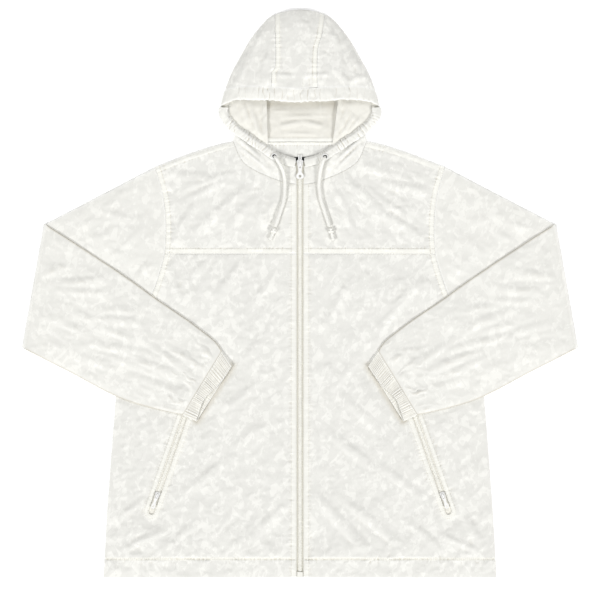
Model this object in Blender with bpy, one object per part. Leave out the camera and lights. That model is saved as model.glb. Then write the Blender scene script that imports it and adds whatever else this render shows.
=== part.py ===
"""A hooded windbreaker with a full zip, lying flat on its back with the sleeves folded in.

Metres, +Z up. The jacket lies on the plane z = 0, front side up, and its origin is the middle of
the floor under it. A place on it is (x, u): x across, u along, up from the hem. Both halves are
worked out at x > 0 and mirrored by their side, +1 for the wearer's left (+X) and -1 for the right.
Each piece of cloth is a closed wall, a seam's gap away from the next.
"""

import math
from collections import namedtuple

import bmesh
import bpy
import numpy as np
from mathutils import Vector, geometry

# ---- driving sizes -------------------------------------------------------------------------------
LENGTH = 0.937          # hem to crown of the hood
WALL = 0.001            # one layer of cloth
GAP = 0.0003            # between neighbouring pieces
SEAM = GAP / 2
SLIVER = 1e-9           # area of a triangle too thin to count

# Heights of the stacked layers: back, then fronts, then what lies on the zip tapes
LAYER_2 = WALL + GAP
LAYER_3 = 2 * LAYER_2
TUBE = LAYER_2 + WALL   # a flattened tube's whole thickness

# Body outline, half of it, as (x, u)
SIDE_SEAM = [(0.324, 0.0), (0.3185, 0.1015), (0.315, 0.151), (0.310, 0.220), (0.3036, 0.2995),
             (0.294, 0.412)]
LOW_ARMHOLE = [(0.294, 0.412), (0.2723, 0.4265), (0.2541, 0.448), (0.2426, 0.471),
               (0.2343, 0.494), (0.2277, 0.5156), (0.2232, 0.534)]
HIGH_ARMHOLE = [(0.2232, 0.534), (0.2211, 0.565), (0.2219, 0.598), (0.2261, 0.631),
                (0.2327, 0.656), (0.2393, 0.677)]
SHOULDER = [(0.2393, 0.677), (0.1881, 0.697), (0.1634, 0.7054), (0.137, 0.7136), (0.112, 0.7194)]
NECK_SEAM = [(0.109, 0.718), (0.099, 0.694), (0.0875, 0.6806), (0.0627, 0.6666), (0.0281, 0.6526),
             (0.018, 0.6505), (0.0115, 0.6497), (0.0056, 0.6493)]
YOKE_U = 0.534
YOKE_BAND = 0.009       # topstitched band above the yoke seam
HEM_DEPTH = 0.030
BAND_RISE = 0.0006
BACK_NECK_U = 0.7194

# Front zip
EDGE_X = 0.0056         # folded edge of each front beside the zip
TAPE_X = 0.0105
LEDGE = (0.0115, 0.018)  # the fronts step down from the zip tape between these
TAPE_TOP_U = 0.687
CHAIN = dict(half=0.0029, low=LAYER_3, high=0.0042, start=0.0105, end=0.6745)
SLIDER_U = 0.6825
MAIN_SLIDER = dict(half=0.005, ahead=0.007, body=0.0026, bridge_half=0.0012, leg=(0.0032, 0.0046),
                   arch=(0.0056, 0.0068))
POCKET_SLIDER = dict(half=0.0040, ahead=0.0060, body=0.0024, bridge_half=0.0010,
                     leg=(0.0030, 0.0042), arch=(0.0052, 0.0063))
# Pull tab: lengths from its axle, widths across
MAIN_PULL = dict(length=0.0252, neck=0.0066, flare=0.0122, window_half=0.0016,
                 window=(0.0007, 0.0074), thick=0.0014, eye=0.0023)
POCKET_PULL = dict(length=0.0225, neck=0.0048, flare=0.0068, window_half=0.0014,
                   window=(0.0007, 0.0050), thick=0.0013, eye=0.0015)
AXLE_LIFT = 0.0041      # the pull's axle above the slider's foot

# Slanted pocket zip, from its low end up
POCKET_START = (0.2445, 0.1097)
POCKET_WAY = (-0.330, 0.944)
POCKET_LENGTH = 0.185
POCKET_SLOT = 0.0055
POCKET_TAPE = 0.0095
POCKET_LEDGE = (0.0105, 0.017)
POCKET_SLIDER_AT = 0.0280
POCKET_CHAIN_HALF = 0.0024

# Sleeve, folded back over itself at the elbow
ELBOW_LOW = (0.4587, 0.3787)
ELBOW_TOP = (0.4224, 0.5833)
FOREARM_LOW = [ELBOW_LOW, (0.3828, 0.3407), (0.3036, 0.2995), (0.2475, 0.2805), (0.193, 0.2685)]
FOREARM_HIGH = [ELBOW_TOP, (0.3498, 0.5379), (0.2805, 0.4917), (0.236, 0.4595), (0.1898, 0.4282),
                (0.165, 0.410), (0.1403, 0.3902), (0.1287, 0.3737)]
CUFF_MOUTH = [(0.170, 0.2582), (0.1122, 0.349)]
CUFF_RIBS = 18
CUFF_RIB_RISE = 0.0009
CUFF_LIFT = 0.0003
MOUTH_LIFT = 0.0016
MOUTH_RECESS = 0.009
SLEEVE_GATHERS = 8
SLEEVE_END = 0.9985     # the sleeve stops short of the cuff by a seam's gap
GATHER_RISE = 0.0013
FOLD_RADIUS = TUBE + SEAM
HOLLOW = (0.0012, 0.0016)  # a tube's hollow: its edge's rounding, and how far in it starts
POCKET_CLEAR = (0.022, 0.045, 0.00215)  # the forearm rises this much over the pocket zip

# Hood, by height u: half width of its outline
HOOD_OUTLINE = [(0.7197, 0.1122), (0.7301, 0.1073), (0.7384, 0.1114), (0.7466, 0.1205),
                (0.7549, 0.1279), (0.7631, 0.132), (0.7714, 0.1328), (0.7796, 0.1304),
                (0.7879, 0.1287), (0.8044, 0.1238), (0.8209, 0.118), (0.8374, 0.1106),
                (0.8539, 0.1015), (0.8704, 0.0924), (0.8869, 0.0825), (0.9034, 0.0701),
                (0.920, 0.0553), (0.928, 0.0446)]
HOOD_TOP_SEAM = {-1: [(0.7900, 0.0450), (0.829, 0.0465), (0.8456, 0.0400), (0.930, 0.0412)],
                 +1: [(0.7900, 0.0285), (0.862, 0.0285), (0.895, 0.0360), (0.930, 0.0412)]}
HOOD_FLOOR_SEAM = [(0.7197, 0.062), (0.790, 0.062), (0.929, 0.0412)]
CROWN_U = 0.937
CROWN_DROP = 0.0080     # how much lower the crown is at the seams
CROWN_HALF = 0.0412
HOOD_FOOT_U = BACK_NECK_U + GAP
BRIM_EDGE = [(0.0, 0.7813), (0.0825, 0.786), (0.110, 0.7845), (0.1262, 0.779), (0.134, 0.776)]
BRIM_DEPTH = 0.0222
BRIM_RISE = 0.020       # height of the brim's arch
BRIM_WAVES = 23
HOOD_EDGE = 0.004       # the hood's thickness at its outline
CASING = 0.0024         # a casing's thickness
CASING_HALF = 0.0078
CASING_WAVES = 12
CASING_LINE = [(0.1262, 0.7747), (0.1262, 0.7648), (0.1188, 0.7524), (0.1056, 0.7392),
               (0.0825, 0.7227), (0.0578, 0.707), (0.0396, 0.6947), (0.0231, 0.6881),
               (0.0075, 0.6839)]
# Top of the side casing by its length: at the outer edge and at the edge beside the opening
CasingHeight = namedtuple("CasingHeight", "part outer inner")
CASING_HEIGHTS = [CasingHeight(0.0, 0.0042, 0.0078), CasingHeight(0.22, 0.0062, 0.0088),
                  CasingHeight(0.45, 0.0082, 0.0090), CasingHeight(0.70, 0.0078, 0.0082),
                  CasingHeight(1.0, 0.0068, 0.0068)]
COLLAR_TOP = [(0.0068, 0.6791), (0.0245, 0.6835), (0.0420, 0.6906), (0.0605, 0.7030),
              (0.0853, 0.7187), (0.1070, 0.7345)]
COLLAR_RISE = 0.0019
TUCK_EDGE = {-1: [(0.0528, 0.7075), (0.0560, 0.825)], +1: [(0.0528, 0.7075), (0.0680, 0.825)]}
TUCK_OUTER = [(0.104, 0.825), (0.111, 0.800), (0.1178, 0.775), (0.1168, 0.7545), (0.1052, 0.7410),
              (0.0820, 0.7246), (0.0610, 0.7112)]
TUCK_RISE = 0.0034
TUCK_HEM = 0.008        # the tuck is doubled this far from its folded edge

# Drawcord, eyelet centre first, as (x, u, z)
CORD_RADIUS = 0.0033
CORD_LINE = {
    -1: [(0.0421, 0.6945, 0.0139), (0.0388, 0.6902, 0.0139), (0.0318, 0.6790, 0.0127),
         (0.0268, 0.6665, 0.0094), (0.0250, 0.6540, 0.0071), (0.0249, 0.6430, 0.0060),
         (0.0264, 0.6229, 0.0060), (0.0310, 0.6080, 0.0060), (0.0360, 0.5930, 0.0061),
         (0.0409, 0.5790, 0.0066)],
    +1: [(0.0412, 0.6936, 0.0139), (0.0391, 0.6888, 0.0139), (0.0352, 0.6780, 0.0125),
         (0.0328, 0.6655, 0.0092), (0.0316, 0.6540, 0.0071), (0.0315, 0.6430, 0.0060),
         (0.0345, 0.6229, 0.0060), (0.0392, 0.6080, 0.0060), (0.0440, 0.5930, 0.0061),
         (0.0486, 0.5790, 0.0066)]}
KNOT_HALF = (0.0050, 0.0052, 0.0041)
TIP_LENGTH = 0.0105
TIP_WAY = {-1: (0.40, -0.92), +1: (0.22, -0.98)}
EYELET = dict(outer=0.0051, inner=0.0032, low=0.0095, high=0.0103)
EYELET_AT = {-1: (0.0421, 0.6945), +1: (0.0412, 0.6936)}

# Main folds: a soft ridge from (x1, u1) to (x2, u2), its half width and its height
Fold = namedtuple("Fold", "x1 u1 x2 u2 width height")
YOKE_FOLDS = {
    -1: [Fold(0.0726, 0.6559, 0.1716, 0.5701, 0.013, 0.0018),
         Fold(0.0990, 0.6344, 0.1419, 0.5734, 0.012, 0.0014),
         Fold(0.0627, 0.6360, 0.1155, 0.5800, 0.012, 0.0016),
         Fold(0.2111, 0.6665, 0.1485, 0.6592, 0.012, 0.0013),
         Fold(0.2112, 0.5569, 0.1716, 0.6146, 0.013, 0.0014)],
    +1: [Fold(0.0750, 0.6559, 0.1650, 0.5767, 0.013, 0.0018),
         Fold(0.0957, 0.6229, 0.2063, 0.5569, 0.013, 0.0016),
         Fold(0.1040, 0.6800, 0.1650, 0.6592, 0.012, 0.0014),
         Fold(0.1238, 0.6526, 0.2145, 0.6361, 0.012, 0.0014)]}
FRONT_FOLDS = {
    -1: [Fold(0.0230, 0.1196, 0.1023, 0.0487, 0.015, 0.0018),
         Fold(0.0627, 0.1049, 0.1188, 0.0385, 0.013, 0.0013),
         Fold(0.2650, 0.1081, 0.2888, 0.0536, 0.013, 0.0014),
         Fold(0.2000, 0.4579, 0.2130, 0.5107, 0.013, 0.0014),
         Fold(0.0908, 0.5206, 0.1403, 0.4579, 0.014, 0.0016),
         Fold(0.0500, 0.4100, 0.1000, 0.3500, 0.014, 0.0012),
         Fold(0.0450, 0.2600, 0.1150, 0.2150, 0.014, 0.0013)],
    +1: [Fold(0.0230, 0.1361, 0.1188, 0.0385, 0.015, 0.0018),
         Fold(0.0743, 0.1279, 0.1650, 0.0536, 0.014, 0.0014),
         Fold(0.2650, 0.1114, 0.2970, 0.0536, 0.013, 0.0014),
         Fold(0.2000, 0.4579, 0.2130, 0.5074, 0.013, 0.0014),
         Fold(0.0990, 0.5206, 0.1650, 0.4414, 0.014, 0.0016),
         Fold(0.0400, 0.3600, 0.0950, 0.3000, 0.014, 0.0012)]}
UPPER_ARM_FOLDS = {
    -1: [Fold(0.2640, 0.4920, 0.2450, 0.5406, 0.013, 0.0016),
         Fold(0.3300, 0.6046, 0.2750, 0.5881, 0.013, 0.0014),
         Fold(0.2700, 0.6450, 0.3300, 0.6200, 0.012, 0.0012)],
    +1: [Fold(0.2620, 0.4950, 0.2480, 0.5440, 0.013, 0.0016),
         Fold(0.3220, 0.5970, 0.2740, 0.5820, 0.013, 0.0014),
         Fold(0.2700, 0.6500, 0.3250, 0.6250, 0.012, 0.0012)]}
FOREARM_FOLDS = {
    -1: [Fold(0.1850, 0.3230, 0.2970, 0.3721, 0.012, 0.0024),
         Fold(0.1780, 0.3370, 0.2640, 0.3952, 0.011, 0.0018),
         Fold(0.1690, 0.3530, 0.2228, 0.3836, 0.010, 0.0014),
         Fold(0.1950, 0.3050, 0.2805, 0.3341, 0.011, 0.0016),
         Fold(0.3960, 0.4876, 0.3168, 0.4909, 0.013, 0.0014),
         Fold(0.3300, 0.4282, 0.2475, 0.4166, 0.013, 0.0016),
         Fold(0.3795, 0.3689, 0.2970, 0.3441, 0.013, 0.0014)],
    +1: [Fold(0.1830, 0.3250, 0.3000, 0.3800, 0.012, 0.0024),
         Fold(0.1750, 0.3420, 0.2550, 0.3920, 0.011, 0.0018),
         Fold(0.1930, 0.3060, 0.2700, 0.3250, 0.011, 0.0016),
         Fold(0.3900, 0.4700, 0.3200, 0.4780, 0.013, 0.0014),
         Fold(0.3450, 0.4400, 0.2620, 0.4050, 0.013, 0.0016),
         Fold(0.3720, 0.3620, 0.3000, 0.3450, 0.013, 0.0014)]}
HOOD_FOLDS = {
    -1: [Fold(0.0200, 0.8330, 0.0600, 0.8360, 0.011, 0.0014),
         Fold(0.1100, 0.8176, 0.0627, 0.8100, 0.010, 0.0016)],
    +1: [Fold(0.0200, 0.8320, 0.0743, 0.8290, 0.011, 0.0016),
         Fold(0.0850, 0.8500, 0.1080, 0.8150, 0.011, 0.0014)]}

# Finish of each kind of piece: colour, roughness, metallic
CLOTH = ("cloth", (0.880, 0.880, 0.855), 0.45, 0.0)
RIBBED = ("ribbed elastic", (0.890, 0.880, 0.850), 0.60, 0.0)
TAPE = ("zip tape", (0.800, 0.790, 0.750), 0.70, 0.0)
TEETH = ("zip teeth", (0.850, 0.840, 0.800), 0.40, 0.0)
METAL = ("white enamelled metal", (0.850, 0.850, 0.830), 0.25, 0.1)
CORD = ("cord", (0.860, 0.850, 0.810), 0.80, 0.0)
LABEL = ("plain black label", (0.010, 0.010, 0.010), 0.70, 0.0)


# ---- curves and fields ---------------------------------------------------------------------------
def smooth_path(points, spacing, steps=12):
    """A smooth curve through the points, read at even places about a spacing apart."""
    given = np.array(points, dtype=float)
    held = np.vstack([2 * given[0] - given[1], given, 2 * given[-1] - given[-2]])
    curve = []
    for p0, p1, p2, p3 in zip(held, held[1:], held[2:], held[3:]):
        for t in np.arange(steps) / steps:
            bend = (2 * p0 - 5 * p1 + 4 * p2 - p3) * t + (3 * p1 - p0 - 3 * p2 + p3) * t * t
            curve.append(p1 + 0.5 * t * (p2 - p0 + bend))
    curve.append(given[-1])
    return even(np.array(curve), spacing)


def even(path, spacing):
    """The path read at even places, both ends kept."""
    run = np.concatenate([[0.0], np.cumsum(np.linalg.norm(np.diff(path, axis=0), axis=1))])
    count = max(2, round(run[-1] / spacing) + 1)
    places = np.linspace(0.0, run[-1], count)
    return np.column_stack([np.interp(places, run, path[:, k]) for k in range(path.shape[1])])


def straight_path(points, spacing):
    """Straight runs through the points, each cut into even pieces."""
    runs = [even(np.array([a, b], dtype=float), spacing)[:-1] for a, b in zip(points, points[1:])]
    return np.vstack(runs + [np.array([points[-1]], dtype=float)])


def read(path, part):
    """The point at a part of the path's length, for one part or for many."""
    run = np.concatenate([[0.0], np.cumsum(np.linalg.norm(np.diff(path, axis=0), axis=1))])
    places = np.asarray(part) * run[-1]
    return np.stack([np.interp(places, run, path[:, k]) for k in range(path.shape[1])], axis=-1)


def joined(*edges):
    """A closed loop from edges that follow each other, without the doubled corners."""
    points = []
    for point in np.vstack(edges):
        if not points or np.linalg.norm(point - points[-1]) > GAP:
            points.append(point)
    if np.linalg.norm(points[0] - points[-1]) <= GAP:
        points.pop()
    return np.array(points)


def inset(loop, distance):
    """The loop moved inwards by a distance."""
    ahead = np.roll(loop, -1, axis=0) - loop
    area = np.sum(loop[:, 0] * np.roll(loop[:, 1], -1) - loop[:, 1] * np.roll(loop[:, 0], -1))
    turn = 1.0 if area > 0 else -1.0
    normal = turn * np.column_stack([-ahead[:, 1], ahead[:, 0]])
    normal /= np.linalg.norm(normal, axis=1)[:, None]
    before = np.roll(normal, 1, axis=0)
    middle = normal + before
    middle /= np.linalg.norm(middle, axis=1)[:, None]
    reach = np.clip(np.sum(middle * normal, axis=1), 0.5, 1.0)
    return loop + middle * (distance / reach)[:, None]


def distance(points, path):
    """How far each point is from a path."""
    best = np.full(len(points), np.inf)
    for a, b in zip(path, path[1:]):
        way = b - a
        along = np.clip((points - a) @ way / max(way @ way, 1e-18), 0.0, 1.0)
        best = np.minimum(best, np.linalg.norm(points - a - along[:, None] * way, axis=1))
    return best


def closed(loop):
    return np.vstack([loop, loop[:1]])


def inside(points, loop):
    """Whether each point is inside the loop."""
    found = np.zeros(len(points), dtype=bool)
    for (xa, ya), (xb, yb) in zip(loop, np.roll(loop, -1, axis=0)):
        if ya != yb:
            crosses = (ya > points[:, 1]) != (yb > points[:, 1])
            found ^= crosses & (points[:, 0] < (xb - xa) * (points[:, 1] - ya) / (yb - ya) + xa)
    return found


def step(low, high, value):
    """A soft step from 0 to 1 between two values."""
    t = np.clip((np.asarray(value, dtype=float) - low) / (high - low), 0.0, 1.0)
    return t * t * (3.0 - 2.0 * t)


def relief(points, folds):
    """How far the folds raise the cloth at each point."""
    height = np.zeros(len(points))
    for fold in folds:
        start = np.array([fold.x1, fold.u1])
        way = np.array([fold.x2, fold.u2]) - start
        along = np.clip((points - start) @ way / (way @ way), 0.0, 1.0)
        away = np.linalg.norm(points - start - along[:, None] * way, axis=1)
        ridge = np.clip(1.0 - (away / fold.width) ** 2, 0.0, None) ** 2
        height = np.maximum(height, fold.height * ridge * (0.35 + 0.65 * np.sin(np.pi * along)))
    return height


def crests(folds, spacing=0.012):
    """The folds' middle lines, for a mesh to follow."""
    return [even(np.array([(f.x1, f.u1), (f.x2, f.u2)]), spacing) for f in folds]


# ---- meshes --------------------------------------------------------------------------------------
def material(finish):
    name, colour, roughness, metallic = finish
    made = bpy.data.materials.get(name) or bpy.data.materials.new(name)
    made.use_nodes = True
    made.diffuse_color = (*colour, 1.0)
    shader = made.node_tree.nodes["Principled BSDF"]
    shader.inputs["Base Color"].default_value = (*colour, 1.0)
    shader.inputs["Roughness"].default_value = roughness
    shader.inputs["Metallic"].default_value = metallic
    return made


def add_object(name, data, finish, origin):
    piece = bpy.data.objects.new(name, data)
    bpy.context.scene.collection.objects.link(piece)
    data.materials.append(material(finish))
    piece.parent = bpy.data.objects["jacket"]
    piece.location = origin
    return piece


def add_solid(name, points, faces, finish, side=1, origin=(0.0, 0.0, 0.0)):
    """A closed solid from points at x > 0, mirrored for side -1, with its faces turned out."""
    mesh = bpy.data.meshes.new(name)
    mesh.from_pydata([(side * x, y, z) for x, y, z in points], [], faces)
    shape = bmesh.new()
    shape.from_mesh(mesh)
    bmesh.ops.recalc_face_normals(shape, faces=shape.faces)
    shape.to_mesh(mesh)
    shape.free()
    mesh.shade_smooth()
    mesh.set_sharp_from_angle(angle=math.radians(40.0))
    return add_object(name, mesh, finish, origin)


def scattered(loops, spacing, taken):
    """Points of a staggered grid inside the first loop and outside the others, clear of lines."""
    low, high = loops[0].min(axis=0), loops[0].max(axis=0)
    rows = np.arange(low[1] + spacing / 2, high[1], spacing * math.sqrt(0.75))
    points = np.array([(x, y) for k, y in enumerate(rows)
                       for x in np.arange(low[0] + spacing * (0.25 + 0.5 * (k % 2)), high[0], spacing)])
    points = points.reshape(-1, 2)
    keep = inside(points, loops[0])
    for hole in loops[1:]:
        keep &= ~inside(points, hole)
    for line in taken:
        keep &= distance(points, line) > 0.55 * spacing
    return points[keep]


def regions(triangles, fence):
    """The triangles grouped by the edges they share, never across the fence's edges."""
    beside = {}
    for k, (a, b, c) in enumerate(triangles):
        for edge in (frozenset((a, b)), frozenset((b, c)), frozenset((c, a))):
            if edge not in fence:
                beside.setdefault(edge, []).append(k)
    near = {k: set() for k in range(len(triangles))}
    for pair in beside.values():
        for k in pair:
            near[k].update(pair)
    groups = []
    while near:
        group, queue = [], [next(iter(near))]
        while queue:
            k = queue.pop()
            if k in near:
                group.append(tuple(triangles[k]))
                queue += near.pop(k)
        groups.append(group)
    return groups


def flat_mesh(loops, spacing, creases):
    """Triangles that fill the first loop less the others; the loops' points come first."""
    points, edges = [], []
    for loop in loops:
        first = len(points)
        points += list(loop)
        edges += [(first + k, first + (k + 1) % len(loop)) for k in range(len(loop))]
    rim = len(points)
    for crease in creases:
        first = len(points)
        points += list(crease)
        edges += [(first + k, first + k + 1) for k in range(len(crease) - 1)]
    points += list(scattered(loops, spacing, [closed(loop) for loop in loops] + list(creases)))
    made = geometry.delaunay_2d_cdt([Vector(p) for p in points], edges, [], 0, 1e-10)
    places, triangles, origins = np.array([tuple(v) for v in made[0]]), made[2], made[3]
    order = {given: new for new, sources in enumerate(origins) for given in sources if given < rim}
    fence = {frozenset((order[a], order[b])) for a, b in edges[:rim]}
    kept = []
    for region in regions(triangles, fence):
        corners = places[np.array(region)]
        sides = corners[:, 1:] - corners[:, :1]
        areas = np.abs(sides[:, 0, 0] * sides[:, 1, 1] - sides[:, 0, 1] * sides[:, 1, 0])
        middle = corners[np.argmax(areas)].mean(axis=0)[None]
        if areas.max() < SLIVER:
            continue
        if inside(middle, loops[0])[0] and not any(inside(middle, hole)[0] for hole in loops[1:]):
            kept += region
    kept = np.array(kept)
    ranks = {order[k]: k for k in range(rim)}
    others = [v for v in sorted(set(kept.ravel())) if v not in ranks]
    ranks.update({v: rim + k for k, v in enumerate(others)})
    listed = np.vstack([np.array([points[k] for k in range(rim)]), places[others]])
    return listed, [tuple(ranks[v] for v in triangle) for triangle in kept], edges[:rim]


def panel(name, loops, under, over, fine, coarse, side=1, creases=(), ledges=(), finish=CLOTH):
    """A wall of cloth between two height fields, over the first loop less the others."""
    top, top_faces, rim = flat_mesh(loops, fine, list(creases) + list(ledges))
    low, low_faces, _ = flat_mesh(loops, coarse, list(ledges))
    points = [(*p, z) for p, z in zip(top, over(top))] + [(*p, z) for p, z in zip(low, under(low))]
    base = len(top)
    faces = list(top_faces) + [tuple(base + v for v in face) for face in low_faces]
    faces += [(a, b, base + b, base + a) for a, b in rim]
    return add_solid(name, points, faces, finish, side)


def grid_wall(name, outer, inner, side=1, mask=None, finish=CLOTH):
    """A wall between two matching grids of points, closed all round what the mask keeps."""
    rows, columns = outer.shape[:2]
    kept = np.ones((rows - 1, columns - 1), dtype=bool) if mask is None else mask
    points = [tuple(p) for p in outer.reshape(-1, 3)] + [tuple(p) for p in inner.reshape(-1, 3)]
    half = rows * columns
    faces, walls = [], {}
    for i, j in zip(*np.nonzero(kept)):
        corners = [i * columns + j, i * columns + j + 1, (i + 1) * columns + j + 1, (i + 1) * columns + j]
        faces.append(tuple(int(c) for c in corners))
        faces.append(tuple(int(half + c) for c in reversed(corners)))
        for a, b in zip(corners, corners[1:] + corners[:1]):
            if (b, a) in walls:
                del walls[(b, a)]
            else:
                walls[(a, b)] = True
    faces += [(int(b), int(a), int(half + a), int(half + b)) for a, b in walls]
    used = sorted({v for face in faces for v in face})
    ranks = {v: k for k, v in enumerate(used)}
    faces = [tuple(ranks[v] for v in face) for face in faces]
    return add_solid(name, [points[v] for v in used], faces, finish, side)


def bridge(faces, low, high):
    """Triangles between two closed loops of (place round the loop, point number)."""
    i = j = 0
    while i < len(low) or j < len(high):
        next_low = low[(i + 1) % len(low)][0] + (i + 1) // len(low)
        next_high = high[(j + 1) % len(high)][0] + (j + 1) // len(high)
        a, b = low[i % len(low)][1], high[j % len(high)][1]
        if j >= len(high) or (i < len(low) and next_low <= next_high):
            faces.append((a, low[(i + 1) % len(low)][1], b))
            i += 1
        else:
            faces.append((a, high[(j + 1) % len(high)][1], b))
            j += 1


def tube(name, outer, inner, side, finish=CLOTH):
    """A closed wall between outer and inner rings, each a list of (place, point)."""
    points, faces = [], []

    def laid(rings):
        loops = []
        for ring in rings:
            loops.append([(place, len(points) + k) for k, (place, _) in enumerate(ring)])
            points.extend(point for _, point in ring)
        return loops

    outside, hollow = laid(outer), laid(inner)
    for rings in (outside, hollow):
        for low, high in zip(rings, rings[1:]):
            bridge(faces, low, high)
    bridge(faces, outside[0], hollow[0])
    bridge(faces, outside[-1], hollow[-1])
    return add_solid(name, points, faces, finish, side)


def prism(name, outline, low, high, finish, side=1, origin=(0.0, 0.0, 0.0), holes=()):
    """An upright plate over an outline, with upright holes."""
    loops = [np.array(loop, dtype=float) for loop in (outline, *holes)]
    flat, triangles, rim = flat_mesh(loops, 1.0, [])
    base = len(flat)
    points = [(x, y, high) for x, y in flat] + [(x, y, low) for x, y in flat]
    faces = list(triangles) + [tuple(base + v for v in face) for face in triangles]
    faces += [(a, b, base + b, base + a) for a, b in rim]
    return add_solid(name, points, faces, finish, side, origin)


def swept(name, sections, finish, side=1, origin=(0.0, 0.0, 0.0)):
    """A solid through closed sections of equal count, with flat ends."""
    points = [point for section in sections for point in section]
    count = len(sections[0])
    faces = [tuple(range(count)), tuple(range(len(points) - count, len(points)))]
    for k in range(len(sections) - 1):
        for n in range(count):
            m = (n + 1) % count
            faces.append((k * count + n, k * count + m, (k + 1) * count + m, (k + 1) * count + n))
    return add_solid(name, points, faces, finish, side, origin)


def circle(radius, count, centre=(0.0, 0.0)):
    turns = 2.0 * math.pi * np.arange(count) / count
    return [(centre[0] + radius * math.cos(t), centre[1] + radius * math.sin(t)) for t in turns]


# ---- outlines that several pieces share ----------------------------------------------------------
NECK_PATH = smooth_path(NECK_SEAM[:5], 0.011)
ARMHOLE = smooth_path(LOW_ARMHOLE + HIGH_ARMHOLE[1:], 0.004)
FRONT_HEM = [(EDGE_X, 0.0), (LEDGE[0], 0.0), (LEDGE[1], 0.0), (SIDE_SEAM[0][0], 0.0)]
BACK_SIDE = joined(smooth_path(SIDE_SEAM, 0.03), smooth_path(LOW_ARMHOLE, 0.014),
                   smooth_path(HIGH_ARMHOLE, 0.02), smooth_path(SHOULDER, 0.03))
BODY = np.vstack([BACK_SIDE, [(0.0, BACK_NECK_U), (0.0, 0.0)]])
UPPER_ARM = np.vstack([ARMHOLE, [ELBOW_TOP, ELBOW_LOW]])
FOREARM = np.vstack([smooth_path(FOREARM_LOW, 0.01), CUFF_MOUTH, smooth_path(FOREARM_HIGH, 0.01)[::-1]])
POCKET = np.array([POCKET_START, np.array(POCKET_START) + POCKET_LENGTH * np.array(POCKET_WAY)])
CASING_PATH = smooth_path(CASING_LINE, 0.002)


def outside(points, loop):
    """How far outside the loop each point is, 0 when inside."""
    return np.where(inside(points, loop), 0.0, distance(points, closed(loop)))


def zip_ledge(points):
    """How far the front zip's tapes raise the cloth."""
    return (LAYER_3 - LAYER_2) * (1.0 - step(*LEDGE, points[:, 0]))


def pocket_ledge(points):
    return (LAYER_3 - LAYER_2) * (1.0 - step(*POCKET_LEDGE, distance(points, POCKET)))


def calm(points, loop, side):
    """1 where the cloth may crown and fold, 0 along edges and under or over other pieces."""
    quiet = step(0.002, 0.016, distance(points, closed(loop)))
    quiet *= step(LEDGE[0], 0.022, points[:, 0])
    quiet *= step(POCKET_LEDGE[0], 0.030, distance(points, POCKET))
    quiet *= step(0.004, 0.030, outside(points, FOREARM))
    return quiet * step(0.007, 0.018, distance(points, cord_track(side)))


def cord_track(side):
    """The drawcord's way over the yoke, out to the end of its tip."""
    way = np.array(TIP_WAY[side])
    line = np.array(CORD_LINE[side])[:, :2]
    return np.vstack([line, [line[-1] + 0.026 * way]])


def soft_crown(points, loop, rise):
    return rise * step(0.0, 0.08, distance(points, closed(loop)))


def support(points):
    """The height that a folded forearm lies at: on the body and arm, sagging past their edges."""
    off = np.minimum(outside(points, BODY), outside(points, UPPER_ARM))
    near, far, rise = POCKET_CLEAR
    over_pocket = rise * (1.0 - step(near, far, distance(points, POCKET)))
    return LAYER_3 * (1.0 - step(0.030, 0.070, off)) + over_pocket


def capsule(radius, reach=0.0, ends=5):
    """A loop at a radius round the pocket's line, drawn out past its low end by a reach."""
    way = np.array(POCKET_WAY)
    across = np.array([way[1], -way[0]])
    low, high = POCKET[0] - reach * way, POCKET[1]
    loop = []
    for centre, start in ((high, 0.0), (low, math.pi)):
        for turn in start + math.pi * np.arange(ends) / (ends - 1):
            loop.append(centre + radius * (math.cos(turn) * across + math.sin(turn) * way))
    return joined(straight_path(loop + loop[:1], 0.022))


# ---- body ----------------------------------------------------------------------------------------
def make_back():
    half = BACK_SIDE[::-1]
    loop = joined(np.array([(0.0, 0.0)]), BACK_SIDE, np.array([(0.0, BACK_NECK_U)]), half * (-1.0, 1.0))
    loop = inset(loop, SEAM)
    panel("back", [loop], lambda p: np.zeros(len(p)), lambda p: np.full(len(p), WALL), 0.09, 0.3)


def front_ledges(low, high):
    """Lines that the cloth bends along beside the front zip."""
    return [straight_path([(x, low), (x, high)], 0.04) for x in LEDGE]


def make_front(side, name):
    seam = [(LOW_ARMHOLE[-1][0], YOKE_U), (LEDGE[1], YOKE_U), (LEDGE[0], YOKE_U), (EDGE_X, YOKE_U)]
    loop = joined(straight_path(FRONT_HEM, 0.02), smooth_path(SIDE_SEAM, 0.02),
                  smooth_path(LOW_ARMHOLE, 0.014), straight_path(seam, 0.02),
                  straight_path([(EDGE_X, YOKE_U), (EDGE_X, 0.0)], 0.03))
    loop = inset(loop, SEAM)
    slot = capsule(POCKET_SLOT, ends=3)
    folds = FRONT_FOLDS[side]

    def under(p):
        rise = np.maximum(zip_ledge(p), pocket_ledge(p))
        return LAYER_2 + rise + soft_crown(p, loop, 0.0018) * calm(p, loop, side)

    def over(p):
        band = BAND_RISE * (1.0 - step(HEM_DEPTH - 0.0006, HEM_DEPTH + 0.0006, p[:, 1]))
        return under(p) + WALL + band + relief(p, folds) * calm(p, loop, side)

    hem = [straight_path([(LEDGE[1] + 0.003, u), (0.3205, u)], 0.025)
           for u in (HEM_DEPTH - 0.0007, HEM_DEPTH + 0.0007)]
    rings = [closed(capsule(radius)) for radius in POCKET_LEDGE]
    panel(name, [loop, slot[::-1]], under, over, 0.0205, 0.040, side, crests(folds) + hem,
          front_ledges(0.004, YOKE_U - 0.004) + rings)


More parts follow.
